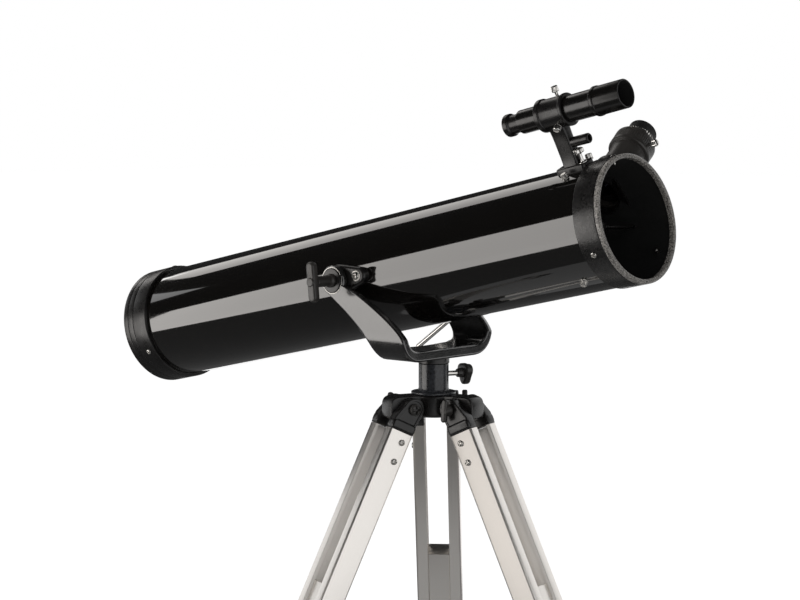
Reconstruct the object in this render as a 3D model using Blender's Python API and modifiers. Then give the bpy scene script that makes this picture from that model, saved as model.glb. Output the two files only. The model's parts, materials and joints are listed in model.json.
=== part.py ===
"""Newtonian reflector telescope: optical tube, finder, yoke mount and folding aluminium tripod.

Metres, +Z up. The origin is on the floor under the azimuth axis, and +X is the way the tube points.
"""

import math

import bmesh
import bpy
from mathutils import Matrix

# Fits and facets
GAP = 0.0003               # clearance between assembled pieces
WELD = 0.00001             # points closer than this are one
TUBE_FACETS = 36
ROUND_FACETS = 20
SMALL_FACETS = 12
ARC_STEPS = 5

# Optical tube, along its axis from the altitude axis
TUBE_RADIUS = 0.062
TUBE_WALL = 0.0015
TUBE_AHEAD = 0.330
TUBE_BEHIND = 0.3464
TUBE_TILT = 12.39          # degrees above level at rest

# Front ring and rear ring
FRONT_RING_WALL = 0.00145
FRONT_RING_LENGTH = 0.030
FRONT_LIP = 0.0057         # thickness of the lip ahead of the tube's edge
FRONT_ROUND = 0.0015       # rounding of the lip
MOUTH_STEP = 0.003         # lip inside the tube's outer radius
REAR_RING_WALL = 0.0032
REAR_RING_LENGTH = 0.038
REAR_PLATE = 0.0043        # thickness of the closed back

# Primary mirror and its cell
PRIMARY_RADIUS = 0.038
PRIMARY_THICK = 0.010
FOCAL_LENGTH = 0.700
CELL_PLATE = 0.005
CELL_RIM = 0.0036
CELL_RIM_HEIGHT = 0.009

# Secondary mirror and spider
SPIDER_AHEAD = 0.286
SPIDER_ANGLES = (-36.0, -146.0, 92.0)
VANE_THICK = 0.0015
VANE_DEEP = 0.010
SPIDER_HUB_RADIUS = 0.008
SECONDARY_RADIUS = 0.010
SECONDARY_THICK = 0.003

# Focuser: rises are above the tube's surface, along the focuser axis
FOCUSER_AHEAD = 0.2627
FOCUSER_ANGLE = 55.0       # degrees from the tube's top towards +Y
FOCUSER_RISE = 0.038
FOCUSER_RADIUS = 0.023
SADDLE_SIDE = 0.054
SADDLE_RISE = 0.0045
SADDLE_DEPTH = 0.016
DRAWTUBE_RADIUS = 0.0185
DRAWTUBE_RISE = 0.004
HOLDER_RADIUS = 0.0223
HOLDER_RISE = 0.071
HOLDER_LENGTH = 0.019
PINION_TEETH = 12
PINION_PITCH_RADIUS = 0.0048
TOOTH_ADDENDUM = 0.0005
TOOTH_DEDENDUM = 0.0008
TOOTH_TIP = 0.0006         # widths of a tooth at its tip and root
TOOTH_ROOT = 0.0012
RACK_WIDTH = 0.006
RACK_ROOT_RISE = 0.0009    # root of the rack's teeth above the drawtube
RACK_TEETH_BELOW = 6
RACK_TEETH_ABOVE = 12
PINION_RISE = 0.022
PINION_WIDTH = 0.008
PINION_BOX_HALF = 0.019
PINION_BOX_WALL = 0.0075
PINION_BOX_HEIGHT = 0.022
FOCUS_SHAFT_RADIUS = 0.0025
FOCUS_KNOB_RADIUS = 0.012
FOCUS_KNOB_LENGTH = 0.012
FOCUS_KNOB_GRIP = 0.009    # shaft inside the knob
FOCUS_KNOB_EDGE = 0.0015
FOCUS_KNOB_OFFSET = 0.003  # knob clear of the pinion box

# Eyepiece
BARREL_RADIUS = 0.015875
BARREL_LENGTH = 0.024
EYEPIECE_BORE = 0.011
EYEPIECE_FLANGE = 0.0170
EYEPIECE_FLANGE_HEIGHT = 0.003
EYEPIECE_BODY = 0.0148
EYEPIECE_BODY_HEIGHT = 0.006
EYECUP_HEIGHT = 0.012
EYECUP_MOUTH = 0.0155
EYECUP_WALL = 0.0025

# Small thumbscrews
SCREW_RADIUS = 0.0016
SCREW_HEAD_RADIUS = 0.0036
SCREW_HEAD_LENGTH = 0.006
SCREW_NECK = 0.004         # bare shank between head and seat

# Finder: rises are above the tube's surface, and its lengths start at the shoulder ahead of its ring
FINDER_ANGLE = -20.0
FINDER_RISE = 0.058
FINDER_TAIL = 0.0585       # behind the shoulder
FINDER_WAIST = 0.0335
FINDER_NECK = 0.0325       # ahead of the shoulder
FINDER_SHIELD_LENGTH = 0.033
FINDER_REAR_RADIUS = 0.01175
FINDER_SEAT_RADIUS = 0.0123
FINDER_BODY_RADIUS = 0.013
FINDER_SHIELD_RADIUS = 0.014
FINDER_BORE = 0.01045
FINDER_LENS_RADIUS = 0.0122
FINDER_LENS_THICK = 0.004
FINDER_EYE_RADIUS = 0.01015
FINDER_EYE_INSIDE = 0.012
FINDER_EYE_OUTSIDE = 0.018
FINDER_CUP_RADIUS = 0.0113
FINDER_CUP_LENGTH = 0.006
FINDER_EYE_BORE = 0.006
FINDER_RING_RADIUS = 0.0155
FINDER_RING_BORE = 0.0136
FINDER_RING_LENGTH = 0.033
FINDER_RING_LIP = 0.005
FINDER_SCREW_INSET = 0.0248  # ahead of the ring's rear end
FINDER_SCREW_COUNT = 3
FINDER_POST_LONG = 0.024
FINDER_POST_WIDE = 0.011
FINDER_FOOT_LONG = 0.034
FINDER_FOOT_TOE = 0.014    # ahead of the ring's middle
FINDER_FOOT_WIDE = 0.019
FINDER_FOOT_RISE = 0.005
FINDER_STUB_RISE = 0.026
FINDER_STUB_RADIUS = 0.004
FINDER_STUB_LENGTH = 0.014

# Trunnions and yoke
PIVOT_BACK = 0.072         # altitude axis behind the azimuth axis
PIVOT_RISE = 0.0874        # altitude axis above the socket
TRUNNION_REACH = 0.0082    # beyond the tube's radius
TRUNNION_SINK = 0.014
TRUNNION_RADIUS = 0.0160
TRUNNION_NOSE = 0.029
TRUNNION_NOSE_RADIUS = 0.0085
PIVOT_PIN_RADIUS = 0.004
PIVOT_PIN_DEPTH = 0.006
YOKE_THICK = 0.0115        # across its base
YOKE_BEND = 0.026          # outer and inner radius of the yoke's corners
YOKE_BEND_INSIDE = 0.018
YOKE_FLOOR = 0.0058        # underside above the socket
YOKE_FRONT = 0.0212
YOKE_TOE = 0.017
YOKE_CHIN = 0.0212         # foremost point above the underside
YOKE_REAR = 0.034          # rear edge at the corners, behind the azimuth axis
YOKE_WAIST = 0.016         # rear edge in the middle
YOKE_WAIST_RADIUS = 0.082
YOKE_BOSS_RADIUS = 0.0165
YOKE_SPIGOT_RADIUS = 0.010
YOKE_SPIGOT_DEPTH = 0.025
ARM_THICK = 0.008
ARM_LEAN = 8.5             # degrees outward, below the upright end
ARM_UPRIGHT = 0.070        # height above the socket from which the arm stands upright
ARM_END_RADIUS = 0.0155
ARM_TOP_LEAVES = -16.0     # degrees round the arm's end, where its edges leave
ARM_LOW_LEAVES = 235.0
ARM_KNEE_RISE = 0.0182     # upright rear edge above the underside
ARM_CHIN_LEAD = (-0.05, 0.15)  # shares of run and rise that shape the arm's top edge
ARM_END_LEAD = (0.43, 0.20)
ARM_LOW_LEAD = (0.36, 0.23)    # and its lower edge
ARM_KNEE_LEAD = (0.01, 0.32)

# Altitude wing knobs
WING_STEM_RADIUS = 0.005
WING_STEM_LENGTH = 0.0265
WING_WASHER_RADIUS = 0.0085
WING_WASHER_THICK = 0.002
WING_SPAN = 0.042
WING_HIGH = 0.009
WING_THICK = 0.008
WING_TURN = 96.0           # degrees from level at rest

# Slow-motion rod
ROD_LUG_AHEAD = 0.1376
ROD_LUG_RADIUS = 0.008
ROD_RADIUS = 0.0028
ROD_LENGTH = 0.194
ROD_SLOPE = 36.0           # degrees below level at rest
ROD_EYE_RADIUS = 0.006
ROD_EYE_BORE = 0.0025
SWIVEL_AT = 0.1088         # along the rod at rest
SWIVEL_RADIUS = 0.009
SWIVEL_INSIDE = 0.005      # inwards and outwards of the rod's axis
SWIVEL_OUTSIDE = 0.006

# Azimuth socket and its lock knob
SOCKET_RADIUS = 0.01575
SOCKET_HEIGHT = 0.032
SOCKET_FLANGE_RADIUS = 0.0235
SOCKET_FLANGE = 0.0025
SOCKET_SPIGOT_RADIUS = 0.012
SOCKET_SPIGOT = 0.018
AZ_KNOB_DOWN = 0.012       # below the top of the socket
AZ_KNOB_TURN = 67.3
AZ_KNOB_SHAFT = 0.0025
AZ_KNOB_REACH = 0.0335     # back of the knob from the azimuth axis
AZ_KNOB_THICK = 0.008
AZ_KNOB_RADIUS = 0.0108
AZ_KNOB_LOBE = 0.0017
AZ_KNOB_NECK = 0.006
STAR_LOBES = 3
STAR_STEPS = 24

# Tripod
LEG_TURN = 7.26            # first leg, degrees from +X
LEG_SPREAD = 25.0          # degrees from plumb
LEG_COUNT = 3
LEG_REACH = 0.702          # hinge to floor along the leg
HINGE_RADIUS = 0.034
HUB_RISE = 0.0125          # hub top above the hinges
HUB_DROP = 0.0105
HUB_CORE = 0.024
LUG_REACH = 0.021          # beyond the hinge
LUG_WIDE = 0.0234
LUG_ROUND = 0.010
CHEEK_RADIUS = 0.0115
CHEEK_LEAVES = 10.0        # degrees round the cheek's top, where its sides leave
HEAD_SHOULDER = 0.0022
HEAD_TONGUE = 0.045
RAIL_WIDE = 0.013
RAIL_DEEP = 0.027
RAIL_WALL = 0.0018
RAIL_LIP = 0.004
RAIL_ROUND = 0.0025
RAIL_OUT = 0.004           # rails stand this far outside the hinge line
RAIL_SHORT = 0.1017        # rails' lower ends short of the floor
BOLT_RADIUS = 0.003
BOLT_HEAD_RADIUS = 0.006
BOLT_HEAD = 0.004
NUT_RADIUS = 0.0062
NUT_LENGTH = 0.009
NUT_WING_SPAN = 0.024
NUT_WING_HIGH = 0.008
NUT_WING_THICK = 0.005
NUT_TURN = 95.0            # degrees from level
CLAMP_WALL = 0.003
CLAMP_OVER = 0.015
CLAMP_UNDER = 0.025
CLAMP_LUG_OUT = 0.010
CLAMP_LUG_WIDE = 0.020
CLAMP_LUG_HIGH = 0.014
CLAMP_SCREW_RADIUS = 0.003
CLAMP_KNOB_RADIUS = 0.0105
CLAMP_KNOB_LOBE = 0.0015
CLAMP_KNOB_THICK = 0.009
CLAMP_KNOB_NECK = 0.005
LOWER_LEG_LENGTH = 0.476
LOWER_LEG_HALF = 0.010
LOWER_LEG_KEY = 0.020
FOOT_HEIGHT = 0.042
FOOT_POCKET = 0.016
FOOT_WALL = 0.003

# Heights and offsets that follow from the sizes above
SPREAD = math.radians(LEG_SPREAD)
HINGE_HEIGHT = LEG_REACH * math.cos(SPREAD) - RAIL_OUT * math.sin(SPREAD)
HUB_TOP = HINGE_HEIGHT + HUB_RISE
SOCKET_TOP = HUB_TOP + SOCKET_HEIGHT
PIVOT_HEIGHT = SOCKET_TOP + PIVOT_RISE
SEAT_RADIUS = TUBE_RADIUS + GAP
TRUNNION_FACE = TUBE_RADIUS + TRUNNION_REACH
ARM_INNER = TRUNNION_FACE + GAP
ARM_OUTER = ARM_INNER + ARM_THICK
ROD_PLANE = ARM_OUTER + GAP + SWIVEL_INSIDE
FRONT_FACE = TUBE_AHEAD + GAP + FRONT_LIP
FRONT_RING_BACK = FRONT_FACE - FRONT_RING_LENGTH
BACK_INNER = TUBE_BEHIND + GAP
BACK_FACE = BACK_INNER + REAR_PLATE
CELL_BACK = BACK_INNER - GAP
CELL_FRONT = CELL_BACK - CELL_PLATE
FOCUSER_TOP = TUBE_RADIUS + FOCUSER_RISE
DRAWTUBE_FOOT = TUBE_RADIUS + DRAWTUBE_RISE
HOLDER_FOOT = TUBE_RADIUS + HOLDER_RISE
HOLDER_TOP = HOLDER_FOOT + HOLDER_LENGTH
PINION_HEIGHT = TUBE_RADIUS + PINION_RISE
RACK_PITCH_LINE = DRAWTUBE_RADIUS + RACK_ROOT_RISE + TOOTH_DEDENDUM
RACK_TIP = RACK_PITCH_LINE + TOOTH_ADDENDUM
PINION_SIDE = RACK_PITCH_LINE + PINION_PITCH_RADIUS
TOOTH_PITCH = 2.0 * math.pi * PINION_PITCH_RADIUS / PINION_TEETH
FINDER_HEIGHT = TUBE_RADIUS + FINDER_RISE
FINDER_STUB_HEIGHT = TUBE_RADIUS + FINDER_STUB_RISE
FINDER_RING_MIDDLE = FRONT_RING_BACK - GAP - FINDER_FOOT_TOE
FINDER_SHOULDER = FINDER_RING_MIDDLE + FINDER_RING_LENGTH / 2.0 + GAP
FINDER_REAR = FINDER_SHOULDER - FINDER_TAIL
FINDER_STEP = FINDER_SHOULDER - FINDER_WAIST
FINDER_SHIELD = FINDER_SHOULDER + FINDER_NECK
FINDER_FRONT = FINDER_SHIELD + FINDER_SHIELD_LENGTH
RAIL_INNER = LUG_WIDE / 2.0 + GAP
RAIL_OUTER = RAIL_INNER + RAIL_WIDE
RAIL_START = math.hypot(LUG_REACH, HUB_DROP) + 2.0 * GAP + HEAD_SHOULDER
RAIL_END = LEG_REACH - RAIL_SHORT
CLAMP_START = RAIL_END - CLAMP_OVER
CLAMP_END = RAIL_END + CLAMP_UNDER
CLAMP_SCREW_AT = RAIL_END + CLAMP_UNDER / 2.0
FOOT_TOP = LEG_REACH - FOOT_HEIGHT
LOWER_LEG_END = FOOT_TOP + FOOT_POCKET
LOWER_LEG_TOP = LOWER_LEG_END - LOWER_LEG_LENGTH
LEG_TURNS = [math.radians(LEG_TURN + 360.0 * leg / LEG_COUNT) for leg in range(LEG_COUNT)]

# Local Z laid along X, along Y and along -Y
ALONG_X = Matrix.Rotation(math.pi / 2.0, 4, 'Y')
ALONG_Y = Matrix.Rotation(-math.pi / 2.0, 4, 'X')
UPRIGHT = Matrix.Rotation(math.pi / 2.0, 4, 'X')


# Scene, materials and nodes

def clear_scene():
    """Remove every object of the open scene."""
    for old in list(bpy.data.objects):
        bpy.data.objects.remove(old, do_unlink=True)


def new_collection(name):
    """Collection of the scene."""
    collection = bpy.data.collections.new(name)
    bpy.context.scene.collection.children.link(collection)
    return collection


def new_material(name, colour, roughness, metallic):
    """Principled material in a linear colour."""
    material = bpy.data.materials.new(name)
    material.use_nodes = True
    shader = material.node_tree.nodes["Principled BSDF"]
    shader.inputs["Base Color"].default_value = (*colour, 1.0)
    shader.inputs["Roughness"].default_value = roughness
    shader.inputs["Metallic"].default_value = metallic
    return material


clear_scene()
PARTS = new_collection("newtonian_telescope")
TOOLS = new_collection("cutters")
ENAMEL = new_material("gloss_black_enamel", (0.008, 0.007, 0.006), 0.12, 0.0)
PLASTIC = new_material("black_plastic", (0.012, 0.012, 0.012), 0.38, 0.0)
DARK_GREY = new_material("dark_grey_plastic", (0.045, 0.043, 0.042), 0.42, 0.0)
CASTING = new_material("satin_black_casting", (0.016, 0.016, 0.016), 0.30, 0.3)
POST_PAINT = new_material("dark_grey_paint", (0.035, 0.037, 0.042), 0.36, 0.3)
ALUMINIUM = new_material("anodised_aluminium", (0.72, 0.71, 0.70), 0.34, 1.0)
CHROME = new_material("chrome", (0.78, 0.77, 0.75), 0.10, 1.0)
RUBBER = new_material("black_rubber", (0.014, 0.014, 0.014), 0.72, 0.0)
MIRROR = new_material("silvered_glass", (0.86, 0.87, 0.88), 0.03, 1.0)
GLASS = new_material("coated_glass", (0.30, 0.34, 0.40), 0.04, 0.0)


def empty(name, place):
    """Empty on a joint's axis."""
    axis = bpy.data.objects.new(name, None)
    PARTS.objects.link(axis)
    axis.matrix_world = place
    return axis


def node(name, mesh, material, parent=None, place=None):
    """One named piece, placed in its parent's frame."""
    piece = bpy.data.objects.new(name, mesh)
    PARTS.objects.link(piece)
    if not mesh.materials:
        mesh.materials.append(material)
        mesh.shade_smooth()
        mesh.set_sharp_from_angle(angle=math.radians(35.0))
    piece.parent = parent
    piece.matrix_local = place or Matrix.Identity(4)
    return piece


# Shapes

def working(data):
    """Guide or cutter object, kept out of the model."""
    tool = bpy.data.objects.new("tool", data)
    tool.hide_render = True
    tool.display_type = 'WIRE'
    TOOLS.objects.link(tool)
    return tool


def baked(tool):
    """Evaluated mesh of a working object, welded and facing outward."""
    graph = bpy.context.evaluated_depsgraph_get()
    mesh = bpy.data.meshes.new_from_object(tool.evaluated_get(graph))
    bpy.data.objects.remove(tool, do_unlink=True)
    shape = bmesh.new()
    shape.from_mesh(mesh)
    bmesh.ops.remove_doubles(shape, verts=shape.verts, dist=WELD)
    bmesh.ops.recalc_face_normals(shape, faces=shape.faces)
    shape.to_mesh(mesh)
    shape.free()
    return mesh


def moved(mesh, place):
    """The same mesh, moved in its own frame."""
    mesh.transform(place)
    return mesh


def at(x, y, z):
    """Translation."""
    return Matrix.Translation((x, y, z))


def turned(profile, facets=ROUND_FACETS, hollow=False):
    """Solid turned about Z from (radius, height) points that run down its outer side."""
    last = len(profile) - 1
    edges = [(step, step + 1) for step in range(last)]
    if hollow:
        edges.append((last, 0))
    mesh = bpy.data.meshes.new("turned")
    mesh.from_pydata([(radius, 0.0, height) for radius, height in profile], edges, [])
    tool = working(mesh)
    screw = tool.modifiers.new("turn", 'SCREW')
    screw.axis = 'Z'
    screw.steps = facets
    screw.render_steps = facets
    screw.use_merge_vertices = True
    screw.merge_threshold = WELD
    return baked(tool)


def disc(radius, low, high, facets=ROUND_FACETS):
    """Cylinder about Z."""
    return turned([(0.0, high), (radius, high), (radius, low), (0.0, low)], facets)


def sleeve(outer, inner, low, high, facets=ROUND_FACETS):
    """Round tube about Z."""
    return turned([(outer, high), (outer, low), (inner, low), (inner, high)], facets, hollow=True)


def plate(outline, low, high):
    """Flat outline in XY, extruded from one height to another."""
    curve = bpy.data.curves.new("plate", 'CURVE')
    curve.dimensions = '2D'
    curve.fill_mode = 'BOTH'
    curve.extrude = (high - low) / 2.0
    spline = curve.splines.new('POLY')
    spline.points.add(len(outline) - 1)
    for point, (x, y) in zip(spline.points, outline):
        point.co = (x, y, 0.0, 1.0)
    spline.use_cyclic_u = True
    return moved(baked(working(curve)), at(0.0, 0.0, (low + high) / 2.0))


def block(low, high):
    """Box between two corners."""
    shape = bmesh.new()
    bmesh.ops.create_cube(shape, size=1.0)
    mesh = bpy.data.meshes.new("block")
    shape.to_mesh(mesh)
    shape.free()
    size = [top - bottom for bottom, top in zip(low, high)]
    middle = [(top + bottom) / 2.0 for bottom, top in zip(low, high)]
    return moved(mesh, Matrix.Translation(middle) @ Matrix.Diagonal((*size, 1.0)))


def boolean(operation, base, *others):
    """Base mesh united with, cut by or kept inside the other meshes, in turn."""
    tool = working(base)
    helpers = [working(other) for other in others]
    for helper in helpers:
        step = tool.modifiers.new(operation, 'BOOLEAN')
        step.operation = operation
        step.object = helper
    mesh = baked(tool)
    for helper in helpers:
        bpy.data.objects.remove(helper, do_unlink=True)
    return mesh


def arc(centre, radius, start, end, steps=ARC_STEPS):
    """Points of a circle's arc, from one angle in degrees to another."""
    angles = [math.radians(start + (end - start) * step / steps) for step in range(steps + 1)]
    return [(centre[0] + radius * math.cos(a), centre[1] + radius * math.sin(a)) for a in angles]


def bezier(start, lead, follow, end, steps=ARC_STEPS):
    """Points of a cubic curve, without its first point."""
    points = []
    for step in range(1, steps + 1):
        t = step / steps
        u = 1.0 - t
        weights = (u * u * u, 3.0 * u * u * t, 3.0 * u * t * t, t * t * t)
        corners = (start, lead, follow, end)
        x = sum(weight * corner[0] for weight, corner in zip(weights, corners))
        y = sum(weight * corner[1] for weight, corner in zip(weights, corners))
        points.append((x, y))
    return points


def lobes(radius, rise, count, steps):
    """Star-knob outline: the radius swells count times round the circle."""
    points = []
    for step in range(steps):
        turn = 2.0 * math.pi * step / steps
        reach = radius + rise * math.cos(count * turn)
        points.append((reach * math.cos(turn), reach * math.sin(turn)))
    return points


def pill(span, high):
    """Rounded bar outline along X."""
    straight = (span - high) / 2.0
    right = arc((straight, 0.0), high / 2.0, -90.0, 90.0)
    left = arc((-straight, 0.0), high / 2.0, 90.0, 270.0)
    return right + left


def lens(radius, thick, facets=ROUND_FACETS):
    """Lens with domed faces, about its own middle."""
    rim = thick / 4.0
    return turned([(0.0, thick / 2.0), (radius / 2.0, thick / 2.0 - rim / 4.0), (radius, rim),
                   (radius, -rim), (radius / 2.0, rim / 4.0 - thick / 2.0), (0.0, -thick / 2.0)], facets)


# Frames

def tube_surface_cutter(length):
    """Tube's outer cylinder with its clearance, along X."""
    return moved(disc(SEAT_RADIUS, -length, length, TUBE_FACETS), ALONG_X)


def radial(ahead, angle):
    """Frame on the tube axis: X along the tube, Z outward at an angle from the tube's top."""
    return at(ahead, 0.0, 0.0) @ Matrix.Rotation(math.radians(-angle), 4, 'X')


def leg_frame(turn):
    """Frame on a leg's hinge: Z up along the leg, Y along the hinge."""
    hinge = at(HINGE_RADIUS, 0.0, HINGE_HEIGHT)
    return Matrix.Rotation(turn, 4, 'Z') @ hinge @ Matrix.Rotation(-SPREAD, 4, 'Y')


# Optical tube

def main_tube():
    """Rolled tube with the hole under the focuser."""
    shell = sleeve(TUBE_RADIUS, TUBE_RADIUS - TUBE_WALL, -TUBE_BEHIND, TUBE_AHEAD, TUBE_FACETS)
    way = math.hypot(RACK_TIP, RACK_WIDTH / 2.0) / math.cos(math.pi / ROUND_FACETS)
    hole = disc(way + GAP, 0.0, 2.0 * TUBE_RADIUS)
    return boolean('DIFFERENCE', moved(shell, ALONG_X), moved(hole, radial(FOCUSER_AHEAD, FOCUSER_ANGLE)))


def front_ring():
    """Ring round the tube's mouth, with a rounded lip over its edge."""
    outer = SEAT_RADIUS + FRONT_RING_WALL
    mouth = TUBE_RADIUS - MOUTH_STEP
    lip_back = FRONT_FACE - FRONT_LIP
    profile = [(outer - FRONT_ROUND, FRONT_FACE), (outer, FRONT_FACE - FRONT_ROUND), (outer, FRONT_RING_BACK),
               (SEAT_RADIUS, FRONT_RING_BACK), (SEAT_RADIUS, lip_back), (mouth, lip_back),
               (mouth, FRONT_FACE - FRONT_ROUND), (mouth + FRONT_ROUND, FRONT_FACE)]
    return moved(turned(profile, TUBE_FACETS, hollow=True), ALONG_X)


def rear_ring():
    """Closed ring round the tube's rear end."""
    outer = SEAT_RADIUS + REAR_RING_WALL
    front = REAR_RING_LENGTH - BACK_FACE
    profile = [(SEAT_RADIUS, front), (outer, front), (outer, FRONT_ROUND - BACK_FACE),
               (outer - FRONT_ROUND, -BACK_FACE), (0.0, -BACK_FACE), (0.0, -BACK_INNER),
               (SEAT_RADIUS, -BACK_INNER)]
    return moved(turned(profile, TUBE_FACETS, hollow=True), ALONG_X)


def mirror_cell():
    """Plate across the tube with a rim round the primary mirror."""
    plate_radius = TUBE_RADIUS - TUBE_WALL - GAP
    inner = PRIMARY_RADIUS + GAP
    rim_top = CELL_RIM_HEIGHT - CELL_FRONT
    profile = [(inner, rim_top), (inner + CELL_RIM, rim_top), (inner + CELL_RIM, -CELL_FRONT),
               (plate_radius, -CELL_FRONT), (plate_radius, -CELL_BACK), (0.0, -CELL_BACK),
               (0.0, -CELL_FRONT), (inner, -CELL_FRONT)]
    return moved(turned(profile, TUBE_FACETS, hollow=True), ALONG_X)


def primary_mirror():
    """Glass disc whose front is hollowed to the focal length."""
    back = GAP - CELL_FRONT
    front = back + PRIMARY_THICK
    radii = [PRIMARY_RADIUS * step / ARC_STEPS for step in range(ARC_STEPS + 1)]
    rim_sag = PRIMARY_RADIUS ** 2 / (4.0 * FOCAL_LENGTH)
    dish = [(radius, front - rim_sag + radius ** 2 / (4.0 * FOCAL_LENGTH)) for radius in radii]
    return moved(turned(dish + [(PRIMARY_RADIUS, back), (0.0, back)]), ALONG_X)


def spider():
    """Hub on the tube axis held by three thin vanes, with the secondary's holder behind it."""
    reach = (TUBE_RADIUS - TUBE_WALL) * math.cos(math.pi / TUBE_FACETS) - GAP
    half = VANE_DEEP / 2.0
    hub = moved(disc(SPIDER_HUB_RADIUS, SPIDER_AHEAD - half, SPIDER_AHEAD + half, SMALL_FACETS), ALONG_X)
    low = (-half, -VANE_THICK / 2.0, SPIDER_HUB_RADIUS / 2.0)
    high = (half, VANE_THICK / 2.0, math.sqrt(reach ** 2 - VANE_THICK ** 2))
    vanes = [moved(block(low, high), radial(SPIDER_AHEAD, angle)) for angle in SPIDER_ANGLES]
    holder = moved(secondary_holder(), radial(FOCUSER_AHEAD, FOCUSER_ANGLE))
    return boolean('UNION', hub, holder, *vanes)


def slanted(mesh, from_height):
    """Mesh along X whose points up to a height lean at 45 degrees towards local Z."""
    shape = bmesh.new()
    shape.from_mesh(mesh)
    for vert in shape.verts:
        if vert.co.x < from_height + WELD:
            vert.co.x += vert.co.z
    shape.to_mesh(mesh)
    shape.free()
    return mesh


def secondary_mirror():
    """Flat mirror, an oval slab leaning at 45 degrees on the focuser axis."""
    slab = moved(disc(SECONDARY_RADIUS, 0.0, SECONDARY_THICK), ALONG_X)
    return slanted(slab, SECONDARY_THICK)


def secondary_holder():
    """Round holder behind the slanted mirror, as far as the spider's vanes."""
    back = SECONDARY_THICK + GAP
    front = SPIDER_AHEAD - VANE_DEEP / 4.0 - FOCUSER_AHEAD
    return slanted(moved(disc(SECONDARY_RADIUS, back, front), ALONG_X), back)


# Focuser and eyepiece, in the focuser's frame

def focuser_base():
    """Saddle, round housing and pinion box in one casting, bored for drawtube, rack and pinion."""
    half = SADDLE_SIDE / 2.0
    top = TUBE_RADIUS + SADDLE_RISE
    saddle = block((-half, -half, top - SADDLE_DEPTH), (half, half, top))
    housing = disc(FOCUSER_RADIUS, top - SADDLE_DEPTH, FOCUSER_TOP)
    box_side = PINION_SIDE + PINION_BOX_WALL
    box_low = PINION_HEIGHT - PINION_BOX_HEIGHT / 2.0
    box = block((-PINION_BOX_HALF, DRAWTUBE_RADIUS / 2.0, box_low),
                (PINION_BOX_HALF, box_side, box_low + PINION_BOX_HEIGHT))
    bore = disc(DRAWTUBE_RADIUS + GAP, 0.0, 2.0 * FOCUSER_TOP)
    slot_half = RACK_WIDTH / 2.0 + GAP
    slot = block((-slot_half, DRAWTUBE_RADIUS / 2.0, 0.0), (slot_half, RACK_TIP + GAP, 2.0 * FOCUSER_TOP))
    pinion_at = at(0.0, PINION_SIDE, PINION_HEIGHT) @ ALONG_X
    pocket_half = PINION_WIDTH / 2.0 + GAP
    pocket_radius = PINION_PITCH_RADIUS + TOOTH_ADDENDUM + TOOTH_DEDENDUM
    pocket = moved(disc(pocket_radius, -pocket_half, pocket_half), pinion_at)
    shaft_hole = moved(disc(FOCUS_SHAFT_RADIUS + GAP, -SADDLE_SIDE, SADDLE_SIDE, SMALL_FACETS), pinion_at)
    body = boolean('UNION', saddle, housing, box)
    return boolean('DIFFERENCE', body, tube_surface_cutter(SADDLE_SIDE), bore, slot, pocket, shaft_hole)


def tooth(root, tip, middle):
    """Corners of one tooth across a pitch line, as (along, height)."""
    return [(middle - TOOTH_ROOT / 2.0, root), (middle - TOOTH_TIP / 2.0, tip),
            (middle + TOOTH_TIP / 2.0, tip), (middle + TOOTH_ROOT / 2.0, root)]


def rack_outline():
    """Rack in (height along the drawtube, distance from its axis)."""
    root = RACK_PITCH_LINE - TOOTH_DEDENDUM
    points = []
    for count in range(-RACK_TEETH_BELOW, RACK_TEETH_ABOVE + 1):
        points += tooth(root, RACK_TIP, PINION_HEIGHT + count * TOOTH_PITCH)
    low = points[0][0] - TOOTH_PITCH / 4.0
    high = points[-1][0] + TOOTH_PITCH / 4.0
    foot = DRAWTUBE_RADIUS * math.cos(math.pi / ROUND_FACETS) - RACK_ROOT_RISE
    return [(low, foot), (low, root)] + points + [(high, root), (high, foot)]


def drawtube():
    """Sliding tube with the rack on its side and the eyepiece holder at its top."""
    bore = BARREL_RADIUS + GAP
    tube = turned([(HOLDER_RADIUS, HOLDER_TOP), (HOLDER_RADIUS, HOLDER_FOOT), (DRAWTUBE_RADIUS, HOLDER_FOOT),
                   (DRAWTUBE_RADIUS, DRAWTUBE_FOOT), (bore, DRAWTUBE_FOOT), (bore, HOLDER_TOP)], hollow=True)
    # the rack's outline is drawn in XY, then stood up with its height along Z and its teeth towards +Y
    stand = Matrix(((0.0, 0.0, 1.0, 0.0), (0.0, 1.0, 0.0, 0.0), (1.0, 0.0, 0.0, 0.0), (0.0, 0.0, 0.0, 1.0)))
    stand = stand @ Matrix.Diagonal((1.0, 1.0, -1.0, 1.0))
    rack = moved(plate(rack_outline(), -RACK_WIDTH / 2.0, RACK_WIDTH / 2.0), stand)
    hole = moved(disc(SCREW_RADIUS + GAP, 0.0, 2.0 * HOLDER_RADIUS, SMALL_FACETS), holder_screw_frame())
    return boolean('DIFFERENCE', boolean('UNION', tube, rack), hole)


def holder_screw_frame():
    """Frame of the eyepiece screw in the holder, Z outward along the tube."""
    return at(0.0, 0.0, (HOLDER_FOOT + HOLDER_TOP) / 2.0) @ ALONG_X


def focus_shaft():
    """Shaft with the toothed pinion in its middle, along Z."""
    points = []
    root = PINION_PITCH_RADIUS - TOOTH_DEDENDUM
    tip = PINION_PITCH_RADIUS + TOOTH_ADDENDUM
    # a gap between teeth faces the rack, which lies on the shaft's -Y side
    for count in range(PINION_TEETH):
        turn = -math.pi / 2.0 + 2.0 * math.pi * (count + 0.5) / PINION_TEETH
        for along, radius in tooth(root, tip, 0.0):
            angle = turn + along / radius
            points.append((radius * math.cos(angle), radius * math.sin(angle)))
    pinion = plate(points, -PINION_WIDTH / 2.0, PINION_WIDTH / 2.0)
    reach = PINION_BOX_HALF + FOCUS_KNOB_OFFSET + FOCUS_KNOB_GRIP
    return boolean('UNION', pinion, disc(FOCUS_SHAFT_RADIUS, -reach, reach, SMALL_FACETS))


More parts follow.
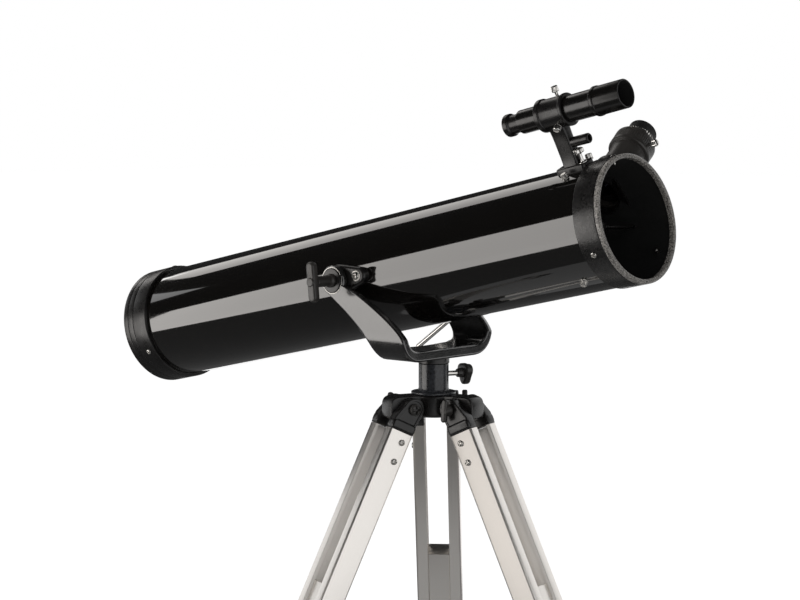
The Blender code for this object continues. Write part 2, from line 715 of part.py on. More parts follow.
def focus_knob():
    """Round knob with a blind bore, seated on the shaft's end, its back at z = 0."""
    bore = FOCUS_SHAFT_RADIUS + GAP
    depth = FOCUS_KNOB_GRIP + GAP
    return turned([(0.0, FOCUS_KNOB_LENGTH), (FOCUS_KNOB_RADIUS - FOCUS_KNOB_EDGE, FOCUS_KNOB_LENGTH),
                   (FOCUS_KNOB_RADIUS, FOCUS_KNOB_LENGTH - FOCUS_KNOB_EDGE), (FOCUS_KNOB_RADIUS, 0.0),
                   (bore, 0.0), (bore, depth), (0.0, depth)])


def eyepiece():
    """Barrel in the holder, flange on its top and body under the eyecup."""
    seat = HOLDER_TOP + GAP
    flange_top = seat + EYEPIECE_FLANGE_HEIGHT
    body_top = flange_top + EYEPIECE_BODY_HEIGHT
    foot = HOLDER_TOP - BARREL_LENGTH
    return turned([(EYEPIECE_BODY, body_top), (EYEPIECE_BODY, flange_top), (EYEPIECE_FLANGE, flange_top),
                   (EYEPIECE_FLANGE, seat), (BARREL_RADIUS, seat), (BARREL_RADIUS, foot),
                   (EYEPIECE_BORE, foot), (EYEPIECE_BORE, body_top)], hollow=True)


def eyecup():
    """Rubber cup that flares from the eyepiece's body."""
    low = HOLDER_TOP + EYEPIECE_FLANGE_HEIGHT + EYEPIECE_BODY_HEIGHT + 2.0 * GAP
    high = low + EYECUP_HEIGHT
    waist = EYEPIECE_BODY - EYECUP_WALL / 2.0
    return turned([(EYECUP_MOUTH, high), (waist, (low + high) / 2.0), (EYEPIECE_BODY, low),
                   (EYEPIECE_BORE, low), (waist - EYECUP_WALL, (low + high) / 2.0),
                   (EYECUP_MOUTH - EYECUP_WALL, high)], hollow=True)


def thumbscrew(tip, seat):
    """Small thumbscrew along Z, from its tip past its seat to its head."""
    neck = seat + SCREW_NECK
    top = neck + SCREW_HEAD_LENGTH
    return turned([(0.0, top), (SCREW_HEAD_RADIUS, top), (SCREW_HEAD_RADIUS, neck), (SCREW_RADIUS, neck),
                   (SCREW_RADIUS, tip), (0.0, tip)], SMALL_FACETS)


# Finder, in a frame at its ring: X along the tube, Z outward from the tube's axis

def finder_frame():
    """Frame on the tube axis under the finder's ring."""
    return radial(FINDER_RING_MIDDLE, FINDER_ANGLE)


def finder_axis():
    """Frame on the finder's own axis in the ring, with Z forward along it."""
    return finder_frame() @ at(0.0, 0.0, FINDER_HEIGHT) @ ALONG_X


def finder_bracket():
    """Ring, post and saddle foot in one moulding, bored for the finder and its screws."""
    half = FINDER_RING_LENGTH / 2.0
    on_axis = at(0.0, 0.0, FINDER_HEIGHT) @ ALONG_X
    ring = moved(disc(FINDER_RING_RADIUS, -half, half), on_axis)
    foot_top = TUBE_RADIUS + FINDER_FOOT_RISE
    foot_low = foot_top - 2.0 * FINDER_FOOT_RISE
    foot = block((FINDER_FOOT_TOE - FINDER_FOOT_LONG, -FINDER_FOOT_WIDE / 2.0, foot_low),
                 (FINDER_FOOT_TOE, FINDER_FOOT_WIDE / 2.0, foot_top))
    ring_wall = (FINDER_RING_BORE + FINDER_RING_RADIUS) / 2.0
    post = block((-FINDER_POST_LONG / 2.0, -FINDER_POST_WIDE / 2.0, foot_top - FINDER_FOOT_RISE / 2.0),
                 (FINDER_POST_LONG / 2.0, FINDER_POST_WIDE / 2.0, FINDER_HEIGHT - ring_wall))
    stub_end = FINDER_POST_LONG / 2.0 + FINDER_STUB_LENGTH
    stub = moved(disc(FINDER_STUB_RADIUS, FINDER_POST_LONG / 4.0, stub_end, SMALL_FACETS),
                 at(0.0, 0.0, FINDER_STUB_HEIGHT) @ ALONG_X)
    lip_back = half - FINDER_RING_LIP
    lip_bore = FINDER_SEAT_RADIUS + GAP
    bore = moved(turned([(0.0, 2.0 * half), (lip_bore, 2.0 * half), (lip_bore, lip_back),
                         (FINDER_RING_BORE, lip_back), (FINDER_RING_BORE, -2.0 * half), (0.0, -2.0 * half)]),
                 on_axis)
    holes = [moved(disc(SCREW_RADIUS + GAP, 0.0, 2.0 * FINDER_RING_RADIUS, SMALL_FACETS), place)
             for place in finder_screw_places()]
    body = boolean('UNION', foot, post, ring, stub)
    return boolean('DIFFERENCE', body, tube_surface_cutter(FINDER_FOOT_LONG), bore, *holes)


def finder_screw_places():
    """Frames of the adjusting screws in the bracket's frame, Z outward from the finder's axis."""
    back = FINDER_SCREW_INSET - FINDER_RING_LENGTH / 2.0
    turns = [math.radians(360.0 * screw / FINDER_SCREW_COUNT) for screw in range(FINDER_SCREW_COUNT)]
    return [at(back, 0.0, FINDER_HEIGHT) @ Matrix.Rotation(turn, 4, 'X') for turn in turns]


def from_ring(ahead):
    """Distance ahead of the finder ring's middle."""
    return ahead - FINDER_RING_MIDDLE


def finder_tube():
    """Stepped finder body with its dew shield, open at both ends."""
    rear = from_ring(FINDER_REAR)
    step = from_ring(FINDER_STEP)
    shoulder = from_ring(FINDER_SHOULDER)
    shield = from_ring(FINDER_SHIELD)
    front = from_ring(FINDER_FRONT)
    seat = shield - FINDER_LENS_THICK
    shield_bore = FINDER_LENS_RADIUS + GAP
    outside = [(FINDER_SHIELD_RADIUS, front), (FINDER_SHIELD_RADIUS, shield), (FINDER_BODY_RADIUS, shield),
               (FINDER_BODY_RADIUS, shoulder), (FINDER_SEAT_RADIUS, shoulder), (FINDER_SEAT_RADIUS, step),
               (FINDER_REAR_RADIUS, step), (FINDER_REAR_RADIUS, rear)]
    inside = [(FINDER_BORE, rear), (FINDER_BORE, seat), (shield_bore, seat), (shield_bore, front)]
    return turned(outside + inside, hollow=True)


def finder_objective():
    """Front lens against its seat in the finder's body."""
    middle = from_ring(FINDER_SHIELD) - FINDER_LENS_THICK / 2.0 + GAP
    return moved(lens(FINDER_LENS_RADIUS, FINDER_LENS_THICK), at(0.0, 0.0, middle))


def finder_eyepiece():
    """Sliding eyepiece in the finder's rear end, with its cup."""
    rear = from_ring(FINDER_REAR)
    inside = rear + FINDER_EYE_INSIDE
    end = rear - FINDER_EYE_OUTSIDE
    cup = end + FINDER_CUP_LENGTH
    return turned([(FINDER_EYE_RADIUS, inside), (FINDER_EYE_RADIUS, cup), (FINDER_CUP_RADIUS, cup),
                   (FINDER_CUP_RADIUS, end), (FINDER_EYE_BORE, end), (FINDER_EYE_BORE, inside)], hollow=True)


# Mount

def trunnion(side):
    """Bracket on the tube's side with a bored boss for the pivot and a nose for its bolt."""
    leaves = math.degrees(math.acos((TRUNNION_RADIUS - TRUNNION_NOSE_RADIUS) / TRUNNION_NOSE))
    boss = arc((0.0, 0.0), TRUNNION_RADIUS, leaves, 360.0 - leaves, 2 * ARC_STEPS)
    nose = arc((TRUNNION_NOSE, 0.0), TRUNNION_NOSE_RADIUS, -leaves, leaves)
    body = moved(plate(boss + nose, -TRUNNION_FACE, TRUNNION_SINK - TRUNNION_FACE), UPRIGHT)
    floor = TRUNNION_FACE - PIVOT_PIN_DEPTH - GAP
    pin = disc(PIVOT_PIN_RADIUS + GAP, floor, 2.0 * TRUNNION_FACE, SMALL_FACETS)
    bracket = boolean('DIFFERENCE', body, tube_surface_cutter(4.0 * TRUNNION_NOSE), moved(pin, ALONG_Y))
    if side < 0:
        bracket = mirrored(bracket)
    return bracket


def mirrored(mesh):
    """Mesh mirrored across the tube's upright plane, faces outward."""
    mesh.transform(Matrix.Diagonal((1.0, -1.0, 1.0, 1.0)))
    mesh.flip_normals()
    return mesh


def swept(start, finish, lead, follow):
    """Cubic edge between two points, its leads given as shares of its run and rise."""
    run = finish[0] - start[0]
    rise = finish[1] - start[1]
    return bezier(start, (start[0] + lead[0] * run, start[1] + lead[1] * rise),
                  (finish[0] - follow[0] * run, finish[1] - follow[1] * rise), finish)


def yoke_side_outline():
    """Arm and corner of the yoke from the side: X forward, Y up from the socket."""
    boss = (-PIVOT_BACK, PIVOT_RISE)
    end = arc(boss, ARM_END_RADIUS, ARM_TOP_LEAVES, ARM_LOW_LEAVES, 2 * ARC_STEPS)
    toe = (YOKE_TOE, YOKE_FLOOR)
    chin = (YOKE_FRONT, YOKE_FLOOR + YOKE_CHIN)
    knee = (-YOKE_REAR, YOKE_FLOOR + ARM_KNEE_RISE)
    front = bezier(toe, (YOKE_FRONT, YOKE_FLOOR), (YOKE_FRONT, chin[1] - YOKE_CHIN / 2.0), chin)
    top = swept(chin, end[0], ARM_CHIN_LEAD, ARM_END_LEAD)
    low = swept(end[-1], knee, ARM_LOW_LEAD, ARM_KNEE_LEAD)
    return [toe] + front + top + end[1:] + low + [(-YOKE_REAR, YOKE_FLOOR)]


def corner_bend(face, floor, radius):
    """Rounded corner between a leaning face of the arm and a level face of the base."""
    lean = math.radians(ARM_LEAN)
    inset = (radius + math.sin(lean) * (ARM_UPRIGHT - floor - radius)) / math.cos(lean)
    return arc((face - inset, floor + radius), radius, -90.0, -ARM_LEAN)


def yoke_front_outline():
    """Bent strap of the yoke from the front: X across, Y up from the socket."""
    top = PIVOT_RISE + 2.0 * ARM_END_RADIUS
    outside = corner_bend(ARM_OUTER, YOKE_FLOOR, YOKE_BEND) + [(ARM_OUTER, ARM_UPRIGHT), (ARM_OUTER, top)]
    inside = corner_bend(ARM_INNER, YOKE_FLOOR + YOKE_THICK, YOKE_BEND_INSIDE)
    inside += [(ARM_INNER, ARM_UPRIGHT), (ARM_INNER, top)]
    right = outside + inside[::-1]
    return right + [(-x, y) for x, y in reversed(right)]


def swivel_pivot():
    """Place of the rod's swivel beside the far arm, in the yoke's frame."""
    tilt = math.radians(TUBE_TILT)
    slope = math.radians(ROD_SLOPE)
    x = ROD_LUG_AHEAD * math.cos(tilt) - SWIVEL_AT * math.cos(slope) - PIVOT_BACK
    z = ROD_LUG_AHEAD * math.sin(tilt) - SWIVEL_AT * math.sin(slope) + PIVOT_RISE
    return at(x, 0.0, z)


def yoke():
    """Bent strap with swept arms, a boss for the rod's swivel, and a post with its spigot."""
    side = moved(plate(yoke_side_outline(), -2.0 * ARM_OUTER, 2.0 * ARM_OUTER), UPRIGHT)
    stand = Matrix.Rotation(math.pi / 2.0, 4, 'Z') @ UPRIGHT
    reach = 2.0 * (PIVOT_BACK + ARM_END_RADIUS)
    strap = boolean('INTERSECT', side, moved(plate(yoke_front_outline(), -reach, reach), stand))
    middle = YOKE_FLOOR + YOKE_THICK / 2.0
    post = turned([(0.0, middle), (YOKE_BOSS_RADIUS, middle), (YOKE_BOSS_RADIUS, GAP),
                   (YOKE_SPIGOT_RADIUS, GAP), (YOKE_SPIGOT_RADIUS, -YOKE_SPIGOT_DEPTH),
                   (0.0, -YOKE_SPIGOT_DEPTH)])
    boss = moved(disc(SWIVEL_RADIUS, ARM_INNER + ARM_THICK / 4.0, ARM_OUTER), swivel_pivot() @ ALONG_Y)
    waist = moved(disc(YOKE_WAIST_RADIUS, 0.0, YOKE_FLOOR + YOKE_BEND, TUBE_FACETS),
                  at(-YOKE_WAIST - YOKE_WAIST_RADIUS, 0.0, 0.0))
    pin = moved(disc(PIVOT_PIN_RADIUS + GAP, -2.0 * ARM_OUTER, 2.0 * ARM_OUTER, SMALL_FACETS),
                at(-PIVOT_BACK, 0.0, PIVOT_RISE) @ ALONG_Y)
    return boolean('UNION', boolean('DIFFERENCE', strap, waist, pin), post, boss)


def wing_knob():
    """Altitude knob along Z on the far side: pin, washer, stem and cross wing."""
    seat = ARM_OUTER + GAP
    washer = seat + WING_WASHER_THICK
    stem = washer + WING_STEM_LENGTH
    tip = TRUNNION_FACE - PIVOT_PIN_DEPTH
    body = turned([(0.0, stem), (WING_STEM_RADIUS, stem), (WING_STEM_RADIUS, washer),
                   (WING_WASHER_RADIUS, washer), (WING_WASHER_RADIUS, seat), (PIVOT_PIN_RADIUS, seat),
                   (PIVOT_PIN_RADIUS, tip), (0.0, tip)], SMALL_FACETS)
    wing = plate(pill(WING_SPAN, WING_HIGH), stem - WING_THICK / 2.0, stem + WING_THICK / 2.0)
    return boolean('UNION', body, wing)


def rod_lug():
    """Round lug on the tube's far side with the pin that carries the rod's eye."""
    face = ROD_PLANE - ROD_RADIUS - 2.0 * GAP
    tip = ROD_PLANE + ROD_RADIUS
    body = turned([(0.0, tip), (ROD_EYE_BORE, tip), (ROD_EYE_BORE, face), (ROD_LUG_RADIUS, face),
                   (ROD_LUG_RADIUS, TUBE_RADIUS / 2.0), (0.0, TUBE_RADIUS / 2.0)], SMALL_FACETS)
    return boolean('DIFFERENCE', moved(body, ALONG_Y), tube_surface_cutter(2.0 * ROD_LUG_RADIUS))


def slow_motion_rod():
    """Rod along -Z from the eye round the lug's pin, in the plane of the rod."""
    shank = disc(ROD_RADIUS, -ROD_LENGTH, -ROD_EYE_BORE - 2.0 * GAP - ROD_RADIUS / 2.0, SMALL_FACETS)
    eye = moved(disc(ROD_EYE_RADIUS, -ROD_RADIUS, ROD_RADIUS, SMALL_FACETS), ALONG_Y)
    bore = moved(disc(ROD_EYE_BORE + GAP, -2.0 * ROD_RADIUS, 2.0 * ROD_RADIUS, SMALL_FACETS), ALONG_Y)
    return boolean('DIFFERENCE', boolean('UNION', shank, eye), bore)


def rod_swivel():
    """Round block that the rod slides through, flat against the boss of the far arm."""
    body = moved(disc(SWIVEL_RADIUS, -SWIVEL_INSIDE, SWIVEL_OUTSIDE), ALONG_Y)
    bore = disc(ROD_RADIUS + GAP, -2.0 * SWIVEL_RADIUS, 2.0 * SWIVEL_RADIUS, SMALL_FACETS)
    return boolean('DIFFERENCE', body, bore)


def azimuth_socket():
    """Post with a blind bore for the yoke's spigot and a flange on the hub, from its top at z = 0."""
    foot = GAP - SOCKET_HEIGHT
    flange = foot + SOCKET_FLANGE
    bore = YOKE_SPIGOT_RADIUS + GAP
    floor = -YOKE_SPIGOT_DEPTH - GAP
    body = turned([(bore, 0.0), (SOCKET_RADIUS, 0.0), (SOCKET_RADIUS, flange), (SOCKET_FLANGE_RADIUS, flange),
                   (SOCKET_FLANGE_RADIUS, foot), (SOCKET_SPIGOT_RADIUS, foot),
                   (SOCKET_SPIGOT_RADIUS, foot - SOCKET_SPIGOT), (0.0, foot - SOCKET_SPIGOT), (0.0, floor),
                   (bore, floor)], hollow=True)
    hole = moved(disc(AZ_KNOB_SHAFT + GAP, 0.0, 2.0 * SOCKET_RADIUS, SMALL_FACETS), azimuth_knob_frame())
    return boolean('DIFFERENCE', body, hole)


def azimuth_knob_frame():
    """Frame of the lock knob below the top of the socket, Z outward."""
    return Matrix.Rotation(math.radians(AZ_KNOB_TURN), 4, 'Z') @ at(0.0, 0.0, -AZ_KNOB_DOWN) @ ALONG_X


def star_knob(tip, shaft, back, neck, radius, rise, thick):
    """Three-lobed knob along Z with its neck and shaft."""
    head = plate(lobes(radius, rise, STAR_LOBES, STAR_STEPS), back, back + thick)
    middle = back + thick / 2.0
    stem = turned([(0.0, middle), (radius / 2.0, middle), (radius / 2.0, back - neck), (shaft, back - neck),
                   (shaft, tip), (0.0, tip)], SMALL_FACETS)
    return boolean('UNION', head, stem)


# Tripod

def tripod_hub():
    """Round core with three bored lugs that the legs straddle."""
    low = HINGE_HEIGHT - HUB_DROP
    core = disc(HUB_CORE, low, HUB_TOP)
    outside = HINGE_RADIUS + LUG_REACH
    shoulder = arc((outside - LUG_ROUND, HUB_TOP - LUG_ROUND), LUG_ROUND, 90.0, 0.0)
    outline = [(0.0, low), (0.0, HUB_TOP)] + shoulder + [(outside, low)]
    lugs = []
    holes = [disc(SOCKET_SPIGOT_RADIUS + GAP, 0.0, 2.0 * HUB_TOP)]
    for turn in LEG_TURNS:
        about = Matrix.Rotation(turn, 4, 'Z')
        lugs.append(moved(plate(outline, -LUG_WIDE / 2.0, LUG_WIDE / 2.0), about @ UPRIGHT))
        hole = disc(BOLT_RADIUS + GAP, -LUG_WIDE, LUG_WIDE, SMALL_FACETS)
        holes.append(moved(hole, about @ at(HINGE_RADIUS, 0.0, HINGE_HEIGHT) @ ALONG_Y))
    return boolean('DIFFERENCE', boolean('UNION', core, *lugs), *holes)


def leg_bolt():
    """Hinge bolt along Z, with its head on one side and its wing nut on the other."""
    face = RAIL_OUTER + GAP
    head = face + BOLT_HEAD
    nut = -face - NUT_LENGTH
    body = turned([(0.0, head), (BOLT_HEAD_RADIUS / 2.0, head), (BOLT_HEAD_RADIUS, face + BOLT_HEAD / 3.0),
                   (BOLT_HEAD_RADIUS, face), (BOLT_RADIUS, face), (BOLT_RADIUS, -face), (NUT_RADIUS, -face),
                   (NUT_RADIUS, nut), (0.0, nut)], SMALL_FACETS)
    wing = plate(pill(NUT_WING_SPAN, NUT_WING_HIGH), nut, nut + NUT_WING_THICK)
    return boolean('UNION', body, wing)


def leg_head(side):
    """Cheek on one side of the hub's lug, with a tongue down into its rail."""
    low = -(RAIL_START - GAP)
    half = RAIL_DEEP / 2.0
    crown = arc((0.0, 0.0), CHEEK_RADIUS, CHEEK_LEAVES, 180.0 - CHEEK_LEAVES, 2 * ARC_STEPS)
    outline = crown + [(RAIL_OUT - half, low), (RAIL_OUT + half, low)]
    cheek = moved(plate(outline, -RAIL_OUTER, -RAIL_INNER), UPRIGHT)
    tongue_half = half - RAIL_LIP - 2.0 * GAP
    tongue = block((RAIL_OUT - tongue_half, RAIL_INNER + GAP, -RAIL_START - HEAD_TONGUE),
                   (RAIL_OUT + tongue_half, RAIL_OUTER - RAIL_WALL - GAP, low + HEAD_SHOULDER))
    hole = moved(disc(BOLT_RADIUS + GAP, 0.0, 2.0 * RAIL_OUTER, SMALL_FACETS), ALONG_Y)
    head = boolean('DIFFERENCE', boolean('UNION', cheek, tongue), hole)
    if side < 0:
        head = mirrored(head)
    return head


def rail(side):
    """Channel rail on one side of the leg, open towards the other rail."""
    half = RAIL_DEEP / 2.0
    lip = half - RAIL_LIP
    wall = half - RAIL_WALL
    round_out = RAIL_OUTER - RAIL_ROUND
    corner = half - RAIL_ROUND
    lower = arc((-corner, round_out), RAIL_ROUND, 180.0, 90.0, ARC_STEPS - 2)
    upper = arc((corner, round_out), RAIL_ROUND, 90.0, 0.0, ARC_STEPS - 2)
    lip_top = RAIL_INNER + RAIL_WALL
    web = RAIL_OUTER - RAIL_WALL
    inside = [(half, RAIL_INNER), (lip, RAIL_INNER), (lip, lip_top), (wall, lip_top), (wall, web),
              (-wall, web), (-wall, lip_top), (-lip, lip_top), (-lip, RAIL_INNER), (-half, RAIL_INNER)]
    outline = [(RAIL_OUT + x, side * y) for x, y in lower + upper + inside]
    return plate(outline, -RAIL_END, -RAIL_START)


def lower_leg_blocks(clearance, low, high):
    """The lower leg's bar, and the keys that run in the rails' channels."""
    bar_deep = LOWER_LEG_HALF + clearance
    bar_wide = RAIL_INNER - GAP + clearance
    key_deep = RAIL_DEEP / 2.0 - RAIL_LIP - 2.0 * GAP + clearance
    key_wide = LOWER_LEG_KEY + clearance
    return [block((RAIL_OUT - deep, -wide, low), (RAIL_OUT + deep, wide, high))
            for deep, wide in ((bar_deep, bar_wide), (key_deep, key_wide))]


def lower_leg():
    """Bar that slides between the rails."""
    return boolean('UNION', *lower_leg_blocks(0.0, -LOWER_LEG_END, -LOWER_LEG_TOP))


def leg_clamp():
    """Collar round the rails' lower ends and the lower leg, with a lug towards the middle."""
    half = RAIL_DEEP / 2.0 + GAP + CLAMP_WALL
    side = RAIL_OUTER + GAP + CLAMP_WALL
    inside = RAIL_OUT - half
    collar = block((inside, -side, -CLAMP_END), (RAIL_OUT + half, side, -CLAMP_START))
    lug = block((inside - CLAMP_LUG_OUT, -CLAMP_LUG_WIDE / 2.0, -CLAMP_END),
                (inside + CLAMP_WALL / 2.0, CLAMP_LUG_WIDE / 2.0, CLAMP_LUG_HIGH - CLAMP_END))
    pocket_half = half - CLAMP_WALL
    pocket = block((RAIL_OUT - pocket_half, CLAMP_WALL - side, -RAIL_END - GAP),
                   (RAIL_OUT + pocket_half, side - CLAMP_WALL, 0.0))
    way = lower_leg_blocks(GAP, -2.0 * CLAMP_END, 0.0)
    hole = moved(disc(CLAMP_SCREW_RADIUS + GAP, 0.0, 2.0 * side, SMALL_FACETS), clamp_knob_frame())
    return boolean('DIFFERENCE', boolean('UNION', collar, lug), pocket, *way, hole)


def clamp_knob_frame():
    """Frame of a clamp's knob in the leg's frame, Z outward."""
    return at(RAIL_OUT, 0.0, -CLAMP_SCREW_AT) @ ALONG_X


def foot():
    """Rubber boot round the lower leg's end, cut level with the floor."""
    deep = LOWER_LEG_HALF + GAP + FOOT_WALL
    wide = LOWER_LEG_KEY + GAP + FOOT_WALL
    boot = block((RAIL_OUT - deep, -wide, -LEG_REACH), (RAIL_OUT + deep, wide, -FOOT_TOP))
    shape = bmesh.new()
    shape.from_mesh(boot)
    for vert in shape.verts:
        if vert.co.z < -FOOT_TOP - FOOT_POCKET:
            vert.co.z -= (vert.co.x - RAIL_OUT) * math.tan(SPREAD)
    shape.to_mesh(boot)
    shape.free()
    return boolean('DIFFERENCE', boot, *lower_leg_blocks(GAP, -LOWER_LEG_END - GAP, 0.0))


# Assembly

def build_tube(altitude):
    """Tube with its rings, mirrors and brackets, on the altitude axis."""
    node("main_tube", main_tube(), ENAMEL, altitude)
    node("front_ring", front_ring(), PLASTIC, altitude)
    node("rear_ring", rear_ring(), PLASTIC, altitude)
    node("mirror_cell", mirror_cell(), PLASTIC, altitude)
    node("primary_mirror", primary_mirror(), MIRROR, altitude)
    node("spider", spider(), PLASTIC, altitude)
    node("secondary_mirror", secondary_mirror(), MIRROR, altitude, radial(FOCUSER_AHEAD, FOCUSER_ANGLE))
    node("trunnion_near", trunnion(-1), PLASTIC, altitude)
    node("trunnion_far", trunnion(1), PLASTIC, altitude)


def build_focuser(altitude):
    """Focuser, eyepiece and their knobs."""
    axis = empty("focuser_axis", Matrix.Identity(4))
    axis.parent = altitude
    axis.matrix_local = radial(FOCUSER_AHEAD, FOCUSER_ANGLE)
    node("focuser_base", focuser_base(), PLASTIC, axis)
    node("drawtube", drawtube(), DARK_GREY, axis)
    pinion = at(0.0, PINION_SIDE, PINION_HEIGHT) @ ALONG_X
    node("focus_shaft", focus_shaft(), CHROME, axis, pinion)
    knob = focus_knob()
    out = at(0.0, 0.0, PINION_BOX_HALF + FOCUS_KNOB_OFFSET)
    node("focus_knob_front", knob, DARK_GREY, axis, pinion @ out)
    node("focus_knob_rear", knob, DARK_GREY, axis, pinion @ Matrix.Rotation(math.pi, 4, 'X') @ out)
    node("eyepiece", eyepiece(), PLASTIC, axis)
    node("eyecup", eyecup(), RUBBER, axis)
    node("eyepiece_screw", thumbscrew(BARREL_RADIUS + GAP, HOLDER_RADIUS), CHROME, axis, holder_screw_frame())


def build_finder(altitude):
    """Finder with its bracket and adjusting screws."""
    node("finder_bracket", finder_bracket(), PLASTIC, altitude, finder_frame())
    node("finder_tube", finder_tube(), ENAMEL, altitude, finder_axis())
    node("finder_objective", finder_objective(), GLASS, altitude, finder_axis())
    node("finder_eyepiece", finder_eyepiece(), PLASTIC, altitude, finder_axis())
    screw = thumbscrew(FINDER_SEAT_RADIUS + GAP, FINDER_RING_RADIUS)
    for count, place in enumerate(finder_screw_places(), 1):
        node(f"finder_screw_{count}", screw, CHROME, altitude, finder_frame() @ place)


def build_mount(azimuth, altitude):
    """Yoke with its knobs, slow-motion rod, socket and lock knob."""
    node("yoke", yoke(), CASTING, azimuth)
    knob = wing_knob()
    pivot = at(-PIVOT_BACK, 0.0, PIVOT_RISE)
    wing_turn = Matrix.Rotation(math.radians(WING_TURN), 4, 'Z')
    node("altitude_knob_near", knob, DARK_GREY, azimuth, pivot @ UPRIGHT @ wing_turn)
    node("altitude_knob_far", knob, DARK_GREY, azimuth, pivot @ ALONG_Y @ wing_turn)
    on_tube = at(ROD_LUG_AHEAD, 0.0, 0.0)
    node("rod_lug", rod_lug(), PLASTIC, altitude, on_tube)
    lean = Matrix.Rotation(math.radians(90.0 - ROD_SLOPE + TUBE_TILT), 4, 'Y')
    rod_axis = on_tube @ at(0.0, ROD_PLANE, 0.0) @ lean
    node("slow_motion_rod", slow_motion_rod(), CHROME, altitude, rod_axis)
    node("rod_swivel", rod_swivel(), PLASTIC, altitude, rod_axis @ at(0.0, 0.0, -SWIVEL_AT))
    node("azimuth_socket", azimuth_socket(), POST_PAINT, azimuth)
    lock = star_knob(YOKE_SPIGOT_RADIUS + GAP, AZ_KNOB_SHAFT, AZ_KNOB_REACH, AZ_KNOB_NECK, AZ_KNOB_RADIUS,
                     AZ_KNOB_LOBE, AZ_KNOB_THICK)
    node("azimuth_lock_knob", lock, DARK_GREY, azimuth, azimuth_knob_frame())


def build_tripod():
    """Hub and three folding legs."""
    node("tripod_hub", tripod_hub(), PLASTIC)
    bolt = leg_bolt()
    head_a = leg_head(1)
    head_b = leg_head(-1)
    rail_a = rail(1)
    rail_b = rail(-1)
    clamp = leg_clamp()
    screw_tip = LOWER_LEG_HALF + GAP
    clamp_face = RAIL_DEEP / 2.0 + GAP + CLAMP_WALL
    knob = star_knob(screw_tip, CLAMP_SCREW_RADIUS, clamp_face + CLAMP_KNOB_NECK + GAP, CLAMP_KNOB_NECK,
                     CLAMP_KNOB_RADIUS, CLAMP_KNOB_LOBE, CLAMP_KNOB_THICK)
    slider = lower_leg()
    boot = foot()
    for count, turn in enumerate(LEG_TURNS, 1):
        hinge = empty(f"leg_hinge_{count}", leg_frame(turn))
        nut_turn = Matrix.Rotation(math.radians(NUT_TURN), 4, 'Z')
        bolt_place = Matrix.Rotation(SPREAD, 4, 'Y') @ ALONG_Y @ nut_turn
        node(f"leg_bolt_{count}", bolt, DARK_GREY, hinge, bolt_place)
        node(f"leg_head_{count}_a", head_a, PLASTIC, hinge)
        node(f"leg_head_{count}_b", head_b, PLASTIC, hinge)
        node(f"rail_{count}_a", rail_a, ALUMINIUM, hinge)
        node(f"rail_{count}_b", rail_b, ALUMINIUM, hinge)
        node(f"leg_clamp_{count}", clamp, PLASTIC, hinge)
        node(f"clamp_knob_{count}", knob, DARK_GREY, hinge, clamp_knob_frame())
        node(f"lower_leg_{count}", slider, ALUMINIUM, hinge)
        node(f"foot_{count}", boot, RUBBER, hinge)


def build():
    """Whole telescope at rest."""
    azimuth = empty("azimuth_axis", at(0.0, 0.0, SOCKET_TOP))
    tilt = Matrix.Rotation(math.radians(-TUBE_TILT), 4, 'Y')
    altitude = empty("altitude_axis", at(-PIVOT_BACK, 0.0, PIVOT_HEIGHT) @ tilt)
    build_tube(altitude)
    build_focuser(altitude)
    build_finder(altitude)
    build_mount(azimuth, altitude)
    build_tripod()


build()
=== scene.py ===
import json
import math

import bmesh
import bpy
import numpy as np
from mathutils import Matrix


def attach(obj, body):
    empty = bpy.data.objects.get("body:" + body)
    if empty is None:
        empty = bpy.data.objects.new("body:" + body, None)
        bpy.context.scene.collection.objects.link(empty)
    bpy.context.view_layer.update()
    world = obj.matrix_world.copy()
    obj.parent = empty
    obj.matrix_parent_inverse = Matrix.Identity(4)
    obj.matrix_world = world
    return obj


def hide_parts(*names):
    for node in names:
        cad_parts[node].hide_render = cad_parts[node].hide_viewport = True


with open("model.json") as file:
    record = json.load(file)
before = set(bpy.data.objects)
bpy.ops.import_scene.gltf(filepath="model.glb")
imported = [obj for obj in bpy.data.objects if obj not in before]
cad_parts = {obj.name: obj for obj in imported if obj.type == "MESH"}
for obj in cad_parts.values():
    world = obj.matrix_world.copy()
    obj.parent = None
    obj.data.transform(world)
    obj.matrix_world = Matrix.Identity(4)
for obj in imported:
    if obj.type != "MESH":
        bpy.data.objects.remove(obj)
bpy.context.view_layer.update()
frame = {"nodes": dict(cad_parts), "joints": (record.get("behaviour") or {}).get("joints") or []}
jointAt = {joint["name"]: np.array(joint["pos_m"]) for joint in frame["joints"] if "pos_m" in joint}
join = np.concatenate
print("frame loaded:", len(frame["nodes"]), "nodes")


# Shapes are drawn in millimetres in a local frame, and a 4 x 4 matrix in metres carries each to its place.
def frameOf(origin, x, z):
    # columns: x and z made unit length, z cross x between them, then the origin
    x, z = (np.asarray(v, float) / np.linalg.norm(v) for v in (x, z))
    place = np.eye(4)
    place[:3, :3] = np.stack([x, np.cross(z, x), z], axis=1)
    place[:3, 3] = origin
    return place


def shift(x, y, z):
    # move by millimetres
    place = np.eye(4)
    place[:3, 3] = np.array([x, y, z]) * 0.001
    return place


def spin(axis, degrees):
    # turn about axis 0, 1 or 2
    i, j = (axis + 1) % 3, (axis + 2) % 3
    place = np.eye(4)
    place[i, i] = place[j, j] = math.cos(math.radians(degrees))
    place[j, i] = math.sin(math.radians(degrees))
    place[i, j] = -place[j, i]
    return place


centre = (0.0, 0.0, 0.0)
toX = frameOf(centre, (0, 0, 1), (1, 0, 0))       # local z laid along x
toBackX = frameOf(centre, (0, 0, 1), (-1, 0, 0))  # along -x
toY = frameOf(centre, (1, 0, 0), (0, 1, 0))       # along y
toNearY = frameOf(centre, (1, 0, 0), (0, -1, 0))  # along -y

